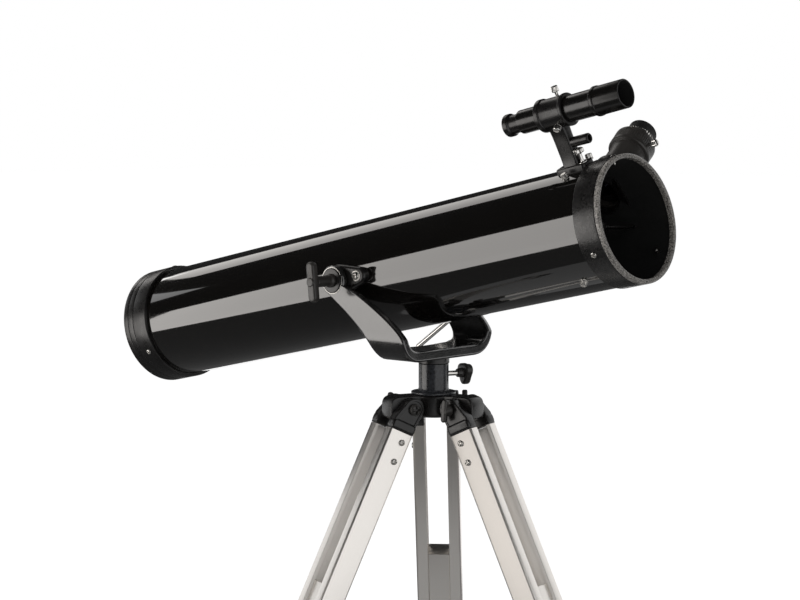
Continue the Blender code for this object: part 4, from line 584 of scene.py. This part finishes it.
cup = ring([(15.5, cupTop), (13.6, 168), (body, top + 0.3), (bore, top + 0.3), (bore + 0.2, 168),
            (13, cupTop)], [0.9, 3.0, 0.6, 0.2, 2.0, 0.9], 6)
piece("eyepieceCup", [(revolve(cup, 96), focuser)], rubber, "eyecup", "eyepiece")
print("focuser and eyepiece made")

# Finder in its ring; stations along z from the ring's middle
finderSize = dict(at=291.7, turn=-20.0, height=120.0, tail=11.75, waist=12.3, body=13.0, lip=14.7,
                  shield=14.0, shieldBore=12.5, bore=10.45, back=-41.7, front=82.3)
finderFoot = radial(finderSize["at"], finderSize["turn"])
ringAt = finderFoot @ shift(0, 0, finderSize["height"])
finder = ringAt @ toX
tail, waist, body, lip, shield, shieldBore, bore, back, front = list(finderSize.values())[3:]
wall = ring([(tail, back), (tail, -16.7), (waist, -16.3), (waist, 16.8), (body, 17), (body, 47.6),
             (lip, 48.8), (lip, 52.2), (shield, 52.8), (shield, front), (shieldBore, front),
             (shieldBore, 45.3), (bore, 45.3), (bore, back)],
            [0.4, 0.1, 0.1, 0.1, 0.3, 0.6, 0.6, 0.6, 0.4, 0.5, 0.5, 0.1, 0.1, 0.3])
piece("finderTube", [(revolve(wall, 96), finder)], finderPaint, "finder_tube")
wall = ring([(shieldBore + 0.02, 81.6), (waist, 81.6), (waist, 50.0), (shieldBore + 0.02, 50.0)], 0.05)
piece("finderShadeLining", [(revolve(wall, 72), finder)], matt)

# Finder's objective, bulged on both faces, and its eyepiece with a thin neck and a ribbed end
lensSize = dict(radius=12.15, back=46.4, front=48.8, rise=1.1)
reach = np.linspace(lensSize["radius"], 0.0, 10)
swell = lensSize["rise"] * (1 - (reach / lensSize["radius"]) ** 2)
lens = join([np.stack([reach[::-1], lensSize["back"] - swell[::-1]], 1),
             np.stack([reach, lensSize["front"] + swell], 1)])
piece("finderObjective", [(revolve(lens, 72), finder)], glass, "finder_objective")
eyeTail = ring([(10.15, -29.7), (10.15, -41.9), (9.3, -42.6), (9.3, -52.8), (11.3, -54.2), (11.3, -59.7),
                (6.5, -59.7), (6, -57.5), (6, -29.7)], [0.2, 0.2, 0.4, 0.6, 0.5, 0.9, 0.7, 0.4, 0.2])
piece("finderEyepiece", [(revolve(eyeTail, 120, (30, 0.4, -58.8, -55.0)), finder)], blackAbs,
      "finder_eyepiece", "finder_eyepiece")
piece("finderEyeLens", [(revolve([(0, -56.6), (3, -56.4), (6.1, -55.6), (6.1, -53), (0, -53)], 48),
                         finder)], glass, body="finder_eyepiece")

# Finder bracket: ring, post whose flanks flare into foot and ring, saddle foot and the stub ahead of the post
bracketSize = dict(rearLip=16.4, frontLip=16.2, wall=15.2, bore=13.6, nose=12.6, postX=(-12, 5.5),
                   postHalf=5.5, postLow=64.5, postRise=42.5, flare=0.3, stub=5.0, stubUp=88.0)
(rearLip, frontLip, out, bore, nose, postX, postHalf, postLow, postRise, flare, stub,
 stubUp) = bracketSize.values()
wall = ring([(rearLip, -16.5), (rearLip, -11.5), (out, -10.8), (out, 12.6), (frontLip, 13.2),
             (frontLip, 16.5), (nose, 16.5), (nose, 11.5), (bore, 11.5), (bore, -16.5)],
            [0.9, 0.8, 0.5, 0.5, 0.7, 0.9, 0.5, 0.2, 0.1, 0.5])
rise = np.linspace(0.0, 1.0, 24)[:, None]
postBox = box(postX, (-postHalf, postHalf), 2.2)
flank = postBox[None, :, 1] * (1.0 + flare * (2 * rise - 1) ** 4)
postGrid = np.stack(np.broadcast_arrays(postBox[None, :, 0], flank, postLow + postRise * rise), -1)
hollowStub = turned([(0, 3), (stub, 3), (stub, 24.6), (stub - 0.6, 25.6), (stub - 1.6, 25.6),
                     (stub - 2, 25), (stub - 2, 17), (0, 17)], [0, 0.1, 0.5, 0.3, 0.3, 0.3, 0.3, 0], 40)
piece("finderBracket", [(revolve(wall, 96), finder), (postGrid, finderFoot),
                        (hollowStub, finderFoot @ shift(0, 0, stubUp) @ toX),
                        (saddle(box((-20, 14), (-9.5, 9.5), 3.0), 67.0, 1.4), finderFoot)], blackAbs,
      "finder_bracket")

# Nuts at the bracket's foot: a knurled one on the tube and a star nut on a stud; then the three finder screws
footNut = turned([(0, 66), (4, 66), (4, 67.4), (3.5, 67.6), (3.5, 71.4), (2.8, 72), (0, 72)],
                 [0, 0.1, 0.3, 0.2, 0.5, 0.4, 0], 72, (18, 0.35, 67.7, 71.5))
starNut = turned([(0, 66), (4.2, 66), (4.2, 67.6), (1.9, 68), (1.9, 75.8), (3.4, 76.2), (5.4, 77),
                  (5.4, 80.6), (3.6, 81.6), (0, 82)], [0, 0.1, 0.3, 0.3, 0.3, 0.4, 0.5, 0.7, 0.6, 0], 96,
                 (7, 1.3, 76.4, 81.4))
piece("finderNuts", [(footNut, radial(301.0, -11.5)), (starNut, finderFoot @ shift(9.2, -2.0, 0))], chrome)
for count in (1, 2, 3):
    name = "finder_screw_%d" % count
    place = ringAt @ shift(8.3, 0, 0) @ spin(0, 120 * (count - 1))
    piece("finderScrew%d" % count, [(thumbscrew(12.4, 15.5), place)], chrome, name, name)
print("finder made")

# Yoke: a ribbon lofted along its front view (y, h); each section is a rounded bar between the rear and front
# edges that the side view gives at its height. Lengths are above the socket's top.
yokeSize = dict(base=11.55, arm=74.5, upright=70.0, top=102.9, lean=8.5, baseThick=11.5, armThick=8.0,
                bend=22.0, armBend=12.0, tuck=11.0, end=15.5, corner=2.6)
yokeFoot = jointAt["azimuth_turn"]
yoke = frameOf(yokeFoot, (1, 0, 0), (0, 0, 1))
endAt = ((pivot - yokeFoot) * 1000)[[0, 2]]              # the arms' round ends lie on the altitude axis
endTop = circle(yokeSize["end"], endAt, -16, 90, 30)
endLow = circle(yokeSize["end"], endAt, 235, 90, 40)
frontEdge = join([bezier((17, 5.8), (21.2, 5.8), (21.2, 16.4), (21.2, 27)),
                  bezier((21.2, 27), (25.1, 35.4), (-23.4, 71.9), (-57.1, 83.1)), endTop])
rearEdge = join([[(-34, 0), (-34, 24)], bezier((-34, 24), (-34.5, 40.2), (-64, 63), (-80.9, 74.7)), endLow])
foot = yokeSize["arm"] - (yokeSize["upright"] - yokeSize["base"]) * math.tan(math.radians(yokeSize["lean"]))
line = fillet([(0, yokeSize["base"]), (foot, yokeSize["base"]), (yokeSize["arm"], yokeSize["upright"]),
               (yokeSize["arm"], yokeSize["top"])], [0, yokeSize["bend"], yokeSize["armBend"], 0], 12,
              closed=False)
run = join([[0.0], np.cumsum(np.linalg.norm(np.diff(line, axis=0), axis=1))])
station = run[-1] * np.sin(np.linspace(0.0, np.pi / 2, 110))
way = np.stack([np.interp(station, run, line[:, k]) for k in (0, 1)], 1)
heading = np.gradient(way, axis=0)
heading[-3:] = (0.0, 1.0)
heading /= np.linalg.norm(heading, axis=1)[:, None]
height = way[:, 1]
front = np.interp(height, frontEdge[:, 1], frontEdge[:, 0])
rear = np.interp(height, rearEdge[:, 1], rearEdge[:, 0])
hollow = -98 + np.sqrt(np.maximum(82.0 ** 2 - way[:, 0] ** 2, 0))     # the base's rear edge is a shallow arc
rear = np.where(height < 40, np.maximum(rear, hollow), rear)
rear = rear + yokeSize["tuck"] * np.exp(-((station - foot + 8) / 20) ** 2)   # and swings in at the bend
thin, thicker = yokeSize["armThick"], yokeSize["baseThick"]
thick = thin + (thicker - thin) * np.clip((34 - height) / 22, 0, 1)

# Section of the bar: a quarter circle at each corner, then points along the flat to the next corner
flatShare = np.array([0.04, 0.2, 0.5, 0.8, 0.96])[:, None]
corner, bar = [], []
for begin in (0.0, 90.0, 180.0, 270.0):
    here, there = circle(math.sqrt(2), start=begin + 45, end=begin + 135, count=2)
    arc = circle(1.0, start=begin, end=begin + 90, count=6)
    corner += [arc, np.repeat(arc[-1:], 5, 0)]
    bar += [np.repeat(here[None], 6, 0), here + (there - here) * flatShare]
corner, bar = join(corner)[None], join(bar)[None]
wide, middle = (front - rear)[:, None] / 2, (front + rear)[:, None] / 2
roundBy = np.minimum(yokeSize["corner"], 0.9 * wide)
across = middle + bar[..., 0] * (wide - roundBy) + corner[..., 0] * roundBy
out = bar[..., 1] * (thick[:, None] / 2 - roundBy) + corner[..., 1] * roundBy
farHalf = np.stack([across, way[:, :1] + out * heading[:, 1:], way[:, 1:] - out * heading[:, :1]], -1)
ribbon = join([(farHalf * (1, -1, 1))[::-1], farHalf[1:]])

# The swivel's boss on the far arm, and the collar under the base
bossSize = dict(radius=9.0, low=70.0, top=78.5, at=(-25.63, 0, 52.97))
radius, low, top, at = bossSize.values()
boss = turned([(0, low), (radius, low), (radius, top), (0, top)], [0, 0.1, 0.8, 0])
piece("forkYoke", [(ribbon, yoke), (boss, yoke @ shift(*at) @ toY)], cast, "yoke", "yoke")
collar = turned([(0, 0.3), (16.5, 0.3), (16.5, 7), (0, 7)], [0, 0.5, 0.1, 0], 72)
piece("yokeCollar", [(collar, yoke)], blackAbs, body="yoke")

# Altitude wing knobs: dark washer inside a bright zinc ring, which is a painted highlight for the lit edge of
# the arm end's raised rim; waisted stem and a cross bar with rounded ends
wingSize = dict(turn=96.0, bar=5.2, half=15.8, barLow=103.0, barTop=111.3, stem=5.7, disc=12.8,
                discLow=78.6, rim=(13.2, 14.0))
turnBy, barRadius, half, barLow, barTop, stemRadius, disc, discLow, (highlightRimIn, highlightRimOut) = wingSize.values()
wing = slab(stadium(barRadius, half, 16), barLow, barTop, 2.4, 5)
stem = turned([(0, 80.2), (7.2, 80.2), (7.2, 83), (stemRadius + 0.3, 84.2), (stemRadius, 95),
               (stemRadius + 0.3, barLow + 1), (0, barLow + 1)], [0, 0.1, 0.8, 1, 4, 1, 0])
button = turned([(0, 110), (5.0, 110), (4.6, 112.2), (0, 112.4)], [0, 0.1, 1, 0])
washer = turned([(0, discLow), (disc, discLow), (disc, discLow + 1.4), (0, discLow + 1.8)],
                [0, 0.4, 0.8, 0], 64)
# thin bright zinc bead round the arm's end: painted highlight on the edge of its raised rim
rim = ring([(highlightRimIn, 78.2), (highlightRimOut, 78.2), (highlightRimOut, 78.9), (highlightRimIn, 78.9)], [0.1, 0.1, 0.3, 0.3])
for name, outward in (("near", (0, -1, 0)), ("far", (0, 1, 0))):
    place = frameOf(pivot, (1, 0, 0), outward) @ spin(2, turnBy)
    body = "altitude_knob_" + name
    piece("wingKnob_" + name, [(stem, place), (wing, place), (button, place)], greyAbs, body, body)
    piece("wingWasher_" + name, [(washer, place)], blackAbs, body=body)
    piece("highlightRim_" + name, [(revolve(rim), place)], zinc, body="yoke")

# Slow-motion rod: lug with its pin on the tube's far side, rod with its eye, swivel on the arm's boss
rodSize = dict(lugAt=137.6, lug=8.0, lugTop=80.4, slope=36.0, radius=2.8, end=-194.0, eye=6.0,
               swivelAt=-108.8, swivel=9.0)
lugAt, lugRadius, lugTop, slope, radius, end, eye, swivelAt, swivelRadius = rodSize.values()
lugPin = turned([(0, 79), (2.5, 79), (2.5, 86), (2, 86.6), (0, 86.6)], [0, 0, 0.3, 0.3, 0], 32)
lugPlace = radial(lugAt, 90.0)
piece("rodLug", [(saddle(circle(lugRadius), lugTop, 1.2), lugPlace), (lugPin, lugPlace)], blackAbs,
      "rod_lug")
down, over = math.cos(math.radians(slope)), math.sin(math.radians(slope))
rod = frameOf(jointAt["rod_pivot"], (over, 0, -down), (down, 0, over))
stick = turned([(0, end), (radius - 0.8, end), (radius, end + 1), (radius, -4.5), (0, -4.5)],
               [0, 0.5, 0.5, 0.1, 0], 40)
loop = ring([(2.9, -2.8), (eye, -2.8), (eye, 2.8), (2.9, 2.8)], [0.3, 0.8, 0.8, 0.3])
piece("slowMotionRod", [(stick, rod), (revolve(loop, 48), rod @ toY)], chrome, "slow_motion_rod",
      "slow_motion_rod")
swivel = turned([(0, -5), (swivelRadius, -5), (swivelRadius, 6), (5, 6), (4.4, 5.4), (0, 5.4)],
                [0, 0.6, 1.4, 0.4, 0.3, 0], 56)
piece("rodSwivel", [(swivel, rod @ shift(0, 0, swivelAt) @ toY)], blackAbs, "rod_swivel", "rod_swivel")
print("yoke and slow-motion rod made")

# Azimuth post with its flange
postSize = dict(flange=23.5, radius=15.75, low=647.34, top=679.03)
flange, radius, low, top = postSize.values()
post = turned([(0, low), (flange, low), (flange, low + 2.26), (radius + 1.45, low + 2.86),
               (radius, low + 4.86), (radius, top), (0, top)], [0, 0.4, 0.7, 0.8, 1.6, 0.7, 0], 96)
piece("azimuthPost", [(post, floorUp)], postPaint, "azimuth_socket", "tripod")


# Lobed grip: r = radius + lobe cos(3 a), with rounded rims and a dished face; neck (radius, length) behind it
def lobedKnob(radius, lobe, back, thick, neck, shaft):
    turn = np.linspace(0.0, 2 * np.pi, 90, endpoint=False)
    reach = radius + lobe * np.cos(3 * turn)
    outline = np.stack([reach * np.cos(turn), reach * np.sin(turn)], 1)
    grip = slab(outline, back, back + thick, 2.0, 5, (1.6, 0.8))
    stalk = turned([(0, shaft), (2.5, shaft), (2.5, back - neck[1]), (neck[0] * 0.82, back - neck[1]),
                    (neck[0], back + 0.5), (0, back + 0.5)], [0, 0.2, 0.1, 0.6, 0.2, 0])
    return grip, stalk


# Azimuth lock: a three-lobed knob on a bright shaft
lockSize = dict(radius=10.8, lobe=1.7, back=33.5, thick=8.0, neck=(5.4, 6.0), shaft=15.0)
lockTurn = math.radians(67.3)
lockAt = frameOf(jointAt["azimuth_lock_turn"], (0, 0, -1), (math.cos(lockTurn), math.sin(lockTurn), 0))
piece("azimuthLockKnob", [(grid, lockAt) for grid in lobedKnob(**lockSize)], greyAbs, "azimuth_lock_knob",
      "azimuth_lock_knob")
bright = revolve([(0, 16), (2.7, 16), (2.7, 27.4), (0, 27.4)], 32)
piece("azimuthLockShaft", [(bright, lockAt)], chrome, body="azimuth_lock_knob")

# Tripod hub: round core with three lugs; level frames stand at the hinges, and leg frames lean with the legs
hubSize = dict(radius=24.0, low=624.04, top=647.03, lugOut=21.0, lugHalf=11.7, turns=(7.26, 127.26, 247.26),
               hinge=(0.034, 0.634538), spread=25.0)
radius, low, top, lugOut, lugHalf, legTurns, hinge, spread = hubSize.values()
hubCore = turned([(0, low), (radius - 2, low), (radius, low + 1.96), (radius, top - 1.43),
                  (radius - 1.4, top), (0, top)], [0, 0.8, 1, 1, 1, 0], 96)
lug = fillet([(-24, -10.5), (lugOut, -10.5), (lugOut, 12.5), (-24, 12.5)], [0, 2.5, 10, 0], 8)
lean, upright = math.sin(math.radians(spread)), math.cos(math.radians(spread))
legs = []
for count, degrees in enumerate(legTurns, 1):
    away = np.array([math.cos(math.radians(degrees)), math.sin(math.radians(degrees)), 0.0])
    up = np.array([0.0, 0.0, 1.0])
    hingeAt = away * hinge[0] + up * hinge[1]
    leaning = frameOf(hingeAt, away * upright + up * lean, up * upright - away * lean)
    legs.append((str(count), frameOf(hingeAt, away, up), leaning))
lugs = [(slab(lug, -lugHalf, lugHalf, 1.4), level @ toNearY) for _, level, _ in legs]
piece("tripodHub", [(hubCore, floorUp)] + lugs, blackAbs, "tripod_hub", "tripod")

# Leg sections in the leg's x and y: cheek with its plug, C-shaped rail, and the bar between the rails
railSize = dict(wide=13.5, deep=25.0, gap=12.0, wall=1.8, lip=4.0, corner=2.6, middle=4.0, low=-600.3,
                top=-26.3)
wide, deep, gap, wall, lip, railCorner, middle, railLow, railTop = railSize.values()
cheek = join([circle(11.5, (0, 0), 8, 172, 30), [(-9.4, -14), (-9.5, -26), (17.5, -26), (17.4, -14)]])
plug = box((-10.1, 18.1), (-26.2, -15.0), 4.0)
profile = mirrored([(wide, deep), (wide, gap), (wide - lip, gap), (wide - lip, gap + wall),
                    (wide - wall, gap + wall), (wide - wall, deep - wall)], (-1, 1))
rail = fillet(np.roll(profile, 2, 0), [0.4, railCorner, railCorner] + [0.4] * 9) + (middle, 0)
bar = fillet(mirrored(mirrored([(-10, -11.7), (-8.9, -11.7), (-8.9, -20)], (-1, 1)), (1, -1)),
             0.5) + (middle, 0)
railScrew = dict(radius=3.3, rise=1.8, stations=(-36.5, -57.5))

# Leg bolt with a cross head on one side and a wing nut on the other
boltSize = dict(radius=3.0, half=25.0, wing=3.0, wingHalf=9.0, wingTurn=-95)
shank = revolve([(0, -boltSize["half"]), (boltSize["radius"], -boltSize["half"]),
                 (boltSize["radius"], 25.2), (0, 25.2)], 24)
nutStem = turned([(0, 25), (6.2, 25), (6.2, 26.6), (5.4, 29), (4.2, 34), (0, 34.2)],
                 [0, 0.2, 0.6, 1, 0.8, 0])
nutWing = slab(stadium(boltSize["wing"], boltSize["wingHalf"], 12), 28.5, 34.3, 1.6, 4)

# Leg collar as blocks (x, y, corner, low, top, edge), its knob, and the rubber foot
collarBlocks = [((-16.8, 16.8), (-28.3, 28.3), 5.0, -625.3, -585.3, 1.6),
                ((-17.6, 17.6), (-29.1, 29.1), 5.4, -592.5, -585.0, 1.5),
                ((-17.6, 17.6), (-29.1, 29.1), 5.4, -625.3, -618.5, 1.5),
                ((-26.8, -15), (-10, 10), 3.0, -625.3, -611.3, 1.6)]
clampKnob = dict(radius=10.5, lobe=1.5, back=22.1, thick=9.0, neck=(5.2, 4.8), shaft=12.0)
footSize = dict(low=-702.0, top=-660.0, sole=-690.0, barLow=-676.0, barTop=-200.0, knobAt=-612.8)
boot = slab(box((-13.3, 13.3), (-23.3, 23.3), 4.0), footSize["low"], footSize["top"], 1.8, 4)
boot[..., 2] -= (boot[..., 2] < footSize["sole"]) * boot[..., 0] * lean / upright    # level sole
cuff = slab(box((-13.9, 13.9), (-23.9, 23.9), 4.4), -668.0, -661.5, 1.2, 3)


def markInside(thing, place):
    # sets the face attribute "inside" where a face's centre lies within the rail's outer walls
    faces = thing.data.polygons
    middles = np.empty(len(faces) * 3)
    faces.foreach_get("center", middles)
    local = (middles.reshape(-1, 3) - place[:3, 3]) @ place[:3, :3] * 1000
    within = (abs(local[:, 0] - middle) < wide - 0.6) & (abs(local[:, 1]) < deep - 0.6)
    marks = thing.data.attributes.new("inside", "FLOAT", "FACE")
    marks.data.foreach_set("value", within.astype(np.float32))


# Each leg: two cheeks, two extruded rails with screws, bolt, collar with knob, lower leg and rubber foot
pale = []                                                # the pale parts of the legs
for count, level, leg in legs:
    body, lowerBody, legMiddle = "leg_" + count, "lower_leg_" + count, leg @ shift(middle, 0, 0)
    for side, place, flip in (("a", toY, -1), ("b", toNearY, 1)):
        outward = leg @ place
        head = [(slab(cheek * (1, flip), 12.0, 24.6, 1.3, 4, (1.3, 0.9)), outward),
                (slab(plug * (1, flip), 11.9, 25.7, 3.0, 5), outward)]
        piece("legCheek" + count + side, head, blackAbs, "leg_head_%s_%s" % (count, side), body)
        rails = [(slab(rail * (1, -flip), railLow, railTop, 0.25, 2), leg)]
        pale.append(piece("legRail" + count + side, rails, alloy, "rail_%s_%s" % (count, side), body))
        markInside(pale[-1], leg)
        heads = [(screwHead(railScrew["radius"], railScrew["rise"]),
                  outward @ shift(0, flip * along, deep - 0.05)) for along in railScrew["stations"]]
        piece("railScrews" + count + side, heads, zinc, body=body)
    head, wings = level @ toY, level @ toNearY
    bolt = [(shank, head), (screwHead(6.2, 3.8), head @ shift(0, 0, 24.9)), (nutStem, wings),
            (nutWing, wings @ spin(2, boltSize["wingTurn"]))]
    piece("legBolt" + count, bolt, greyAbs, "leg_bolt_" + count, "leg_bolt_" + count)
    blocks = [(slab(box(x, y, bend), low, top, edge, 4), legMiddle)
              for x, y, bend, low, top, edge in collarBlocks]
    piece("legCollar" + count, blocks, blackAbs, "leg_clamp_" + count, body)
    knobAt = legMiddle @ shift(0, 0, footSize["knobAt"]) @ toX
    piece("clampKnob" + count, [(grid, knobAt) for grid in lobedKnob(**clampKnob)], greyAbs,
          "clamp_knob_" + count, "clamp_knob_" + count)
    lower = [(slab(bar, footSize["barLow"], footSize["barTop"], 0.5, 2), leg)]
    pale.append(piece("lowerLeg" + count, lower, alloy, lowerBody, lowerBody))
    piece("rubberFoot" + count, [(boot, legMiddle), (cuff, legMiddle)], rubber, "foot_" + count, lowerBody)
print("tripod made")

# Stage: the camera at the photograph's viewing angle
cameraSet = dict(location=(1.3464, -1.5882, 0.9273), pitch=85.0, turn=41.26, lens=90.0, sensor=36.0)
camera = bpy.data.objects.new("camera", bpy.data.cameras.new("camera"))
camera.location = cameraSet["location"]
camera.rotation_euler = (math.radians(cameraSet["pitch"]), 0.0, math.radians(cameraSet["turn"]))
camera.data.lens, camera.data.sensor_width = cameraSet["lens"], cameraSet["sensor"]
bpy.context.scene.collection.objects.link(camera)
bpy.context.scene.camera = camera


def coneWay(turn):
    # direction round the tube that its wall mirrors to the camera at that turn, less its share along the axis
    sweep = math.radians(turn)
    return -aside * math.cos(sweep) + above * math.sin(sweep)


def coneFrame(turn, reach, along):
    # frame out on the mirrored ray, which has that share along the tube: x along the tube, z away from it
    side = 0.751 * coneWay(turn)                         # the rest of a unit ray with 0.66 along the tube
    return frameOf(pivot + (along * ahead + side) * reach, ahead, coneWay(turn))


def aimFrame(place, target):
    # frame that looks along -z from a place to a target
    back = np.asarray(place, float) - np.asarray(target, float)
    return frameOf(place, np.cross((0, 0, 1), back), back)


def softbox(name, place, size, power, inGloss, onMatt):
    data = bpy.data.lights.new(name, "AREA")
    data.shape, data.size, data.size_y, data.energy = "RECTANGLE", size[0], size[1], power
    data.color = (1.0, 0.965, 0.93)
    lamp = bpy.data.objects.new(name, data)
    lamp.matrix_world = Matrix(place.tolist())
    lamp.visible_camera, lamp.visible_glossy, lamp.visible_diffuse = False, inGloss, onMatt
    bpy.context.scene.collection.objects.link(lamp)
    return lamp


def lightGroup(name, things, state):
    # collection of the pieces that a lamp lights alone (INCLUDE) or leaves out (EXCLUDE)
    group = bpy.data.collections.new(name)
    for thing in things:
        group.objects.link(thing)
    for entry in group.collection_objects:
        entry.light_linking.link_state = state
    return group


# Long softboxes that the tube mirrors as strips: two for the camera's side, which leave out the pale legs,
# and two ahead of the tube and for it alone, so that it shines from behind. Each has a turn round the tube,
# a reach in metres, its share along the tube, a shift in mm, a size in metres, a power and its pieces.
legsLeftOut = lightGroup("flaggedFromStrips", pale, "EXCLUDE")
legsAlone = lightGroup("paleLegs", pale, "INCLUDE")
tubeAlone = lightGroup("tubeOnly", [bpy.data.objects["tubeShell"]], "INCLUDE")
stripSet = dict(broad=(0.0, 1.7, -0.66, -170.0, (1.95, 1.14), 22.4, legsLeftOut),
                high=(111.0, 1.9, -0.66, -170.0, (1.95, 0.71), 5.6, legsLeftOut),
                nearRear=(12.0, 1.7, 0.66, 170.0, (1.95, 0.9), 17.0, tubeAlone),
                farRear=(168.0, 1.7, 0.66, 170.0, (1.95, 0.9), 17.0, tubeAlone))
for name, (turn, reach, along, slide, size, power, group) in stripSet.items():
    strip = softbox(name + "Strip", coneFrame(turn, reach, along) @ shift(slide, 0, 0), size, power, True,
                    False)
    strip.light_linking.receiver_collection = group

# Soft panel that only the pale legs mirror, then the key and fill that light matt surfaces
lampSet = dict(legPanel=((-0.57, -1.335, 0.42), (0.1, 0, 0.4), 1.5, 6.6, True, False),
               key=((-1.3, -2.1, 2.4), (0, 0, 0.6), 1.6, 44.0, False, True),
               fill=((1.5, -1.3, 1.5), (0, 0, 0.7), 0.8, 8.0, False, True))
for name, (place, target, size, power, inGloss, onMatt) in lampSet.items():
    softbox(name, aimFrame(place, target), (size, size), power, inGloss, onMatt)
bpy.data.objects["legPanel"].light_linking.receiver_collection = legsAlone

# Tent: a dome R (cos e cos a, cos e sin a, sin e) for glossy rays alone, with windows (turns and rises in
# degrees) where the pale rails mirror the white room
tentSet = dict(radius=2.6, height=0.6, rises=(-13.2, 89), glow=0.02,
               windows=((-60, 150, -14, -8), (-40, 32, -10, 30), (58, 110, -10, 40), (163, 197, -10, 24)))
turns, rises = np.meshgrid(np.arange(-60, 301, 3), np.linspace(*tentSet["rises"], 38))
sweep, lift = np.radians(turns), np.radians(rises)
dome = tentSet["radius"] * np.stack([np.cos(lift) * np.cos(sweep), np.cos(lift) * np.sin(sweep),
                                     np.sin(lift)], -1)
dome[..., 2] += tentSet["height"]
index = np.arange(turns.size).reshape(turns.shape)
quads = np.stack([index[:-1, :-1], index[:-1, 1:], index[1:, 1:], index[1:, :-1]], -1)
turnAt, riseAt = turns[:-1, :-1] + 1.5, rises[:-1, :-1] + 1.4    # about the middle of each quad
closed = np.ones(turnAt.shape, bool)
for low, high, under, over in tentSet["windows"]:
    closed &= ~((turnAt > low) & (turnAt < high) & (riseAt > under) & (riseAt < over))


def stageMesh(name, points, faces, material):
    mesh = bpy.data.meshes.new(name)
    mesh.from_pydata(points, [], faces)
    mesh.materials.append(material)
    thing = bpy.data.objects.new(name, mesh)
    bpy.context.scene.collection.objects.link(thing)
    return thing


def darkCloth(name, glow):
    # black cloth with an even faint glow, as what gloss mirrors
    return startMaterial(name, {"Base Color": hexColour("#000000"), "Roughness": 1.0,
                                "Specular IOR Level": 0.0, "Emission Color": (1.0, 1.0, 1.0, 1.0),
                                "Emission Strength": glow})[0]


# The tent, and two round cards (radius, middle, height, glow) that darken the floor for glossy rays
cards = dict(floorCard=(2.2, (-0.7, -0.4), 0.012, 0.08), underCard=(0.42, (0.03, -0.05), 0.014, 0.3))
cloths = [stageMesh("darkTent", dome.reshape(-1, 3).tolist(), quads[closed].tolist(),
                    darkCloth("charcoalCloth", tentSet["glow"]))]
for name, (radius, middle, level, glow) in cards.items():
    points = np.append(circle(radius, middle), np.full((48, 1), level), 1)
    cloths.append(stageMesh(name, points.tolist(), [list(range(48))], darkCloth(name, glow)))
for cloth in cloths:
    cloth.visible_camera = cloth.visible_diffuse = cloth.visible_transmission = cloth.visible_shadow = False


def seenLevel(tree, whenSeen, otherwise):
    # one level for camera, glossy and transmission rays, another for the light that reaches the object
    path = addNode(tree, "LightPath").outputs
    first = addNode(tree, "Math", {0: path["Is Camera Ray"], 1: path["Is Glossy Ray"]}, operation="MAXIMUM")
    both = addNode(tree, "Math", {0: first.outputs[0], 1: path["Is Transmission Ray"]}, operation="MAXIMUM")
    return addNode(tree, "MapRange", {"Value": both.outputs[0], "To Min": otherwise,
                                      "To Max": whenSeen}).outputs["Result"]


# White room and pale floor: levels where they are seen, and for the light that they give
roomSet = dict(room=(1.0, 0.5), floor=(0.72, 0.12), floorBase=0.6, floorHalf=30)
world = bpy.data.worlds.new("studio")
world.use_nodes = True
bpy.context.scene.world = world
sky = world.node_tree.nodes["Background"].inputs
sky["Color"].default_value = (1.0, 1.0, 1.0, 1.0)
world.node_tree.links.new(seenLevel(world.node_tree, *roomSet["room"]), sky["Strength"])
base, half = roomSet["floorBase"], roomSet["floorHalf"]
floorPaint, tree, shader = startMaterial("paleFloor", {"Base Color": (base, base, base, 1.0),
                                                       "Roughness": 0.9, "Specular IOR Level": 0.0,
                                                       "Emission Color": (1.0, 1.0, 1.0, 1.0)})
tree.links.new(seenLevel(tree, *roomSet["floor"]), shader.inputs["Emission Strength"])
stageMesh("floor", [(-half, -half, 0), (half, -half, 0), (half, half, 0), (-half, half, 0)], [(0, 1, 2, 3)],
          floorPaint)

bpy.context.scene.view_settings.view_transform = "Standard"
print("stage set")
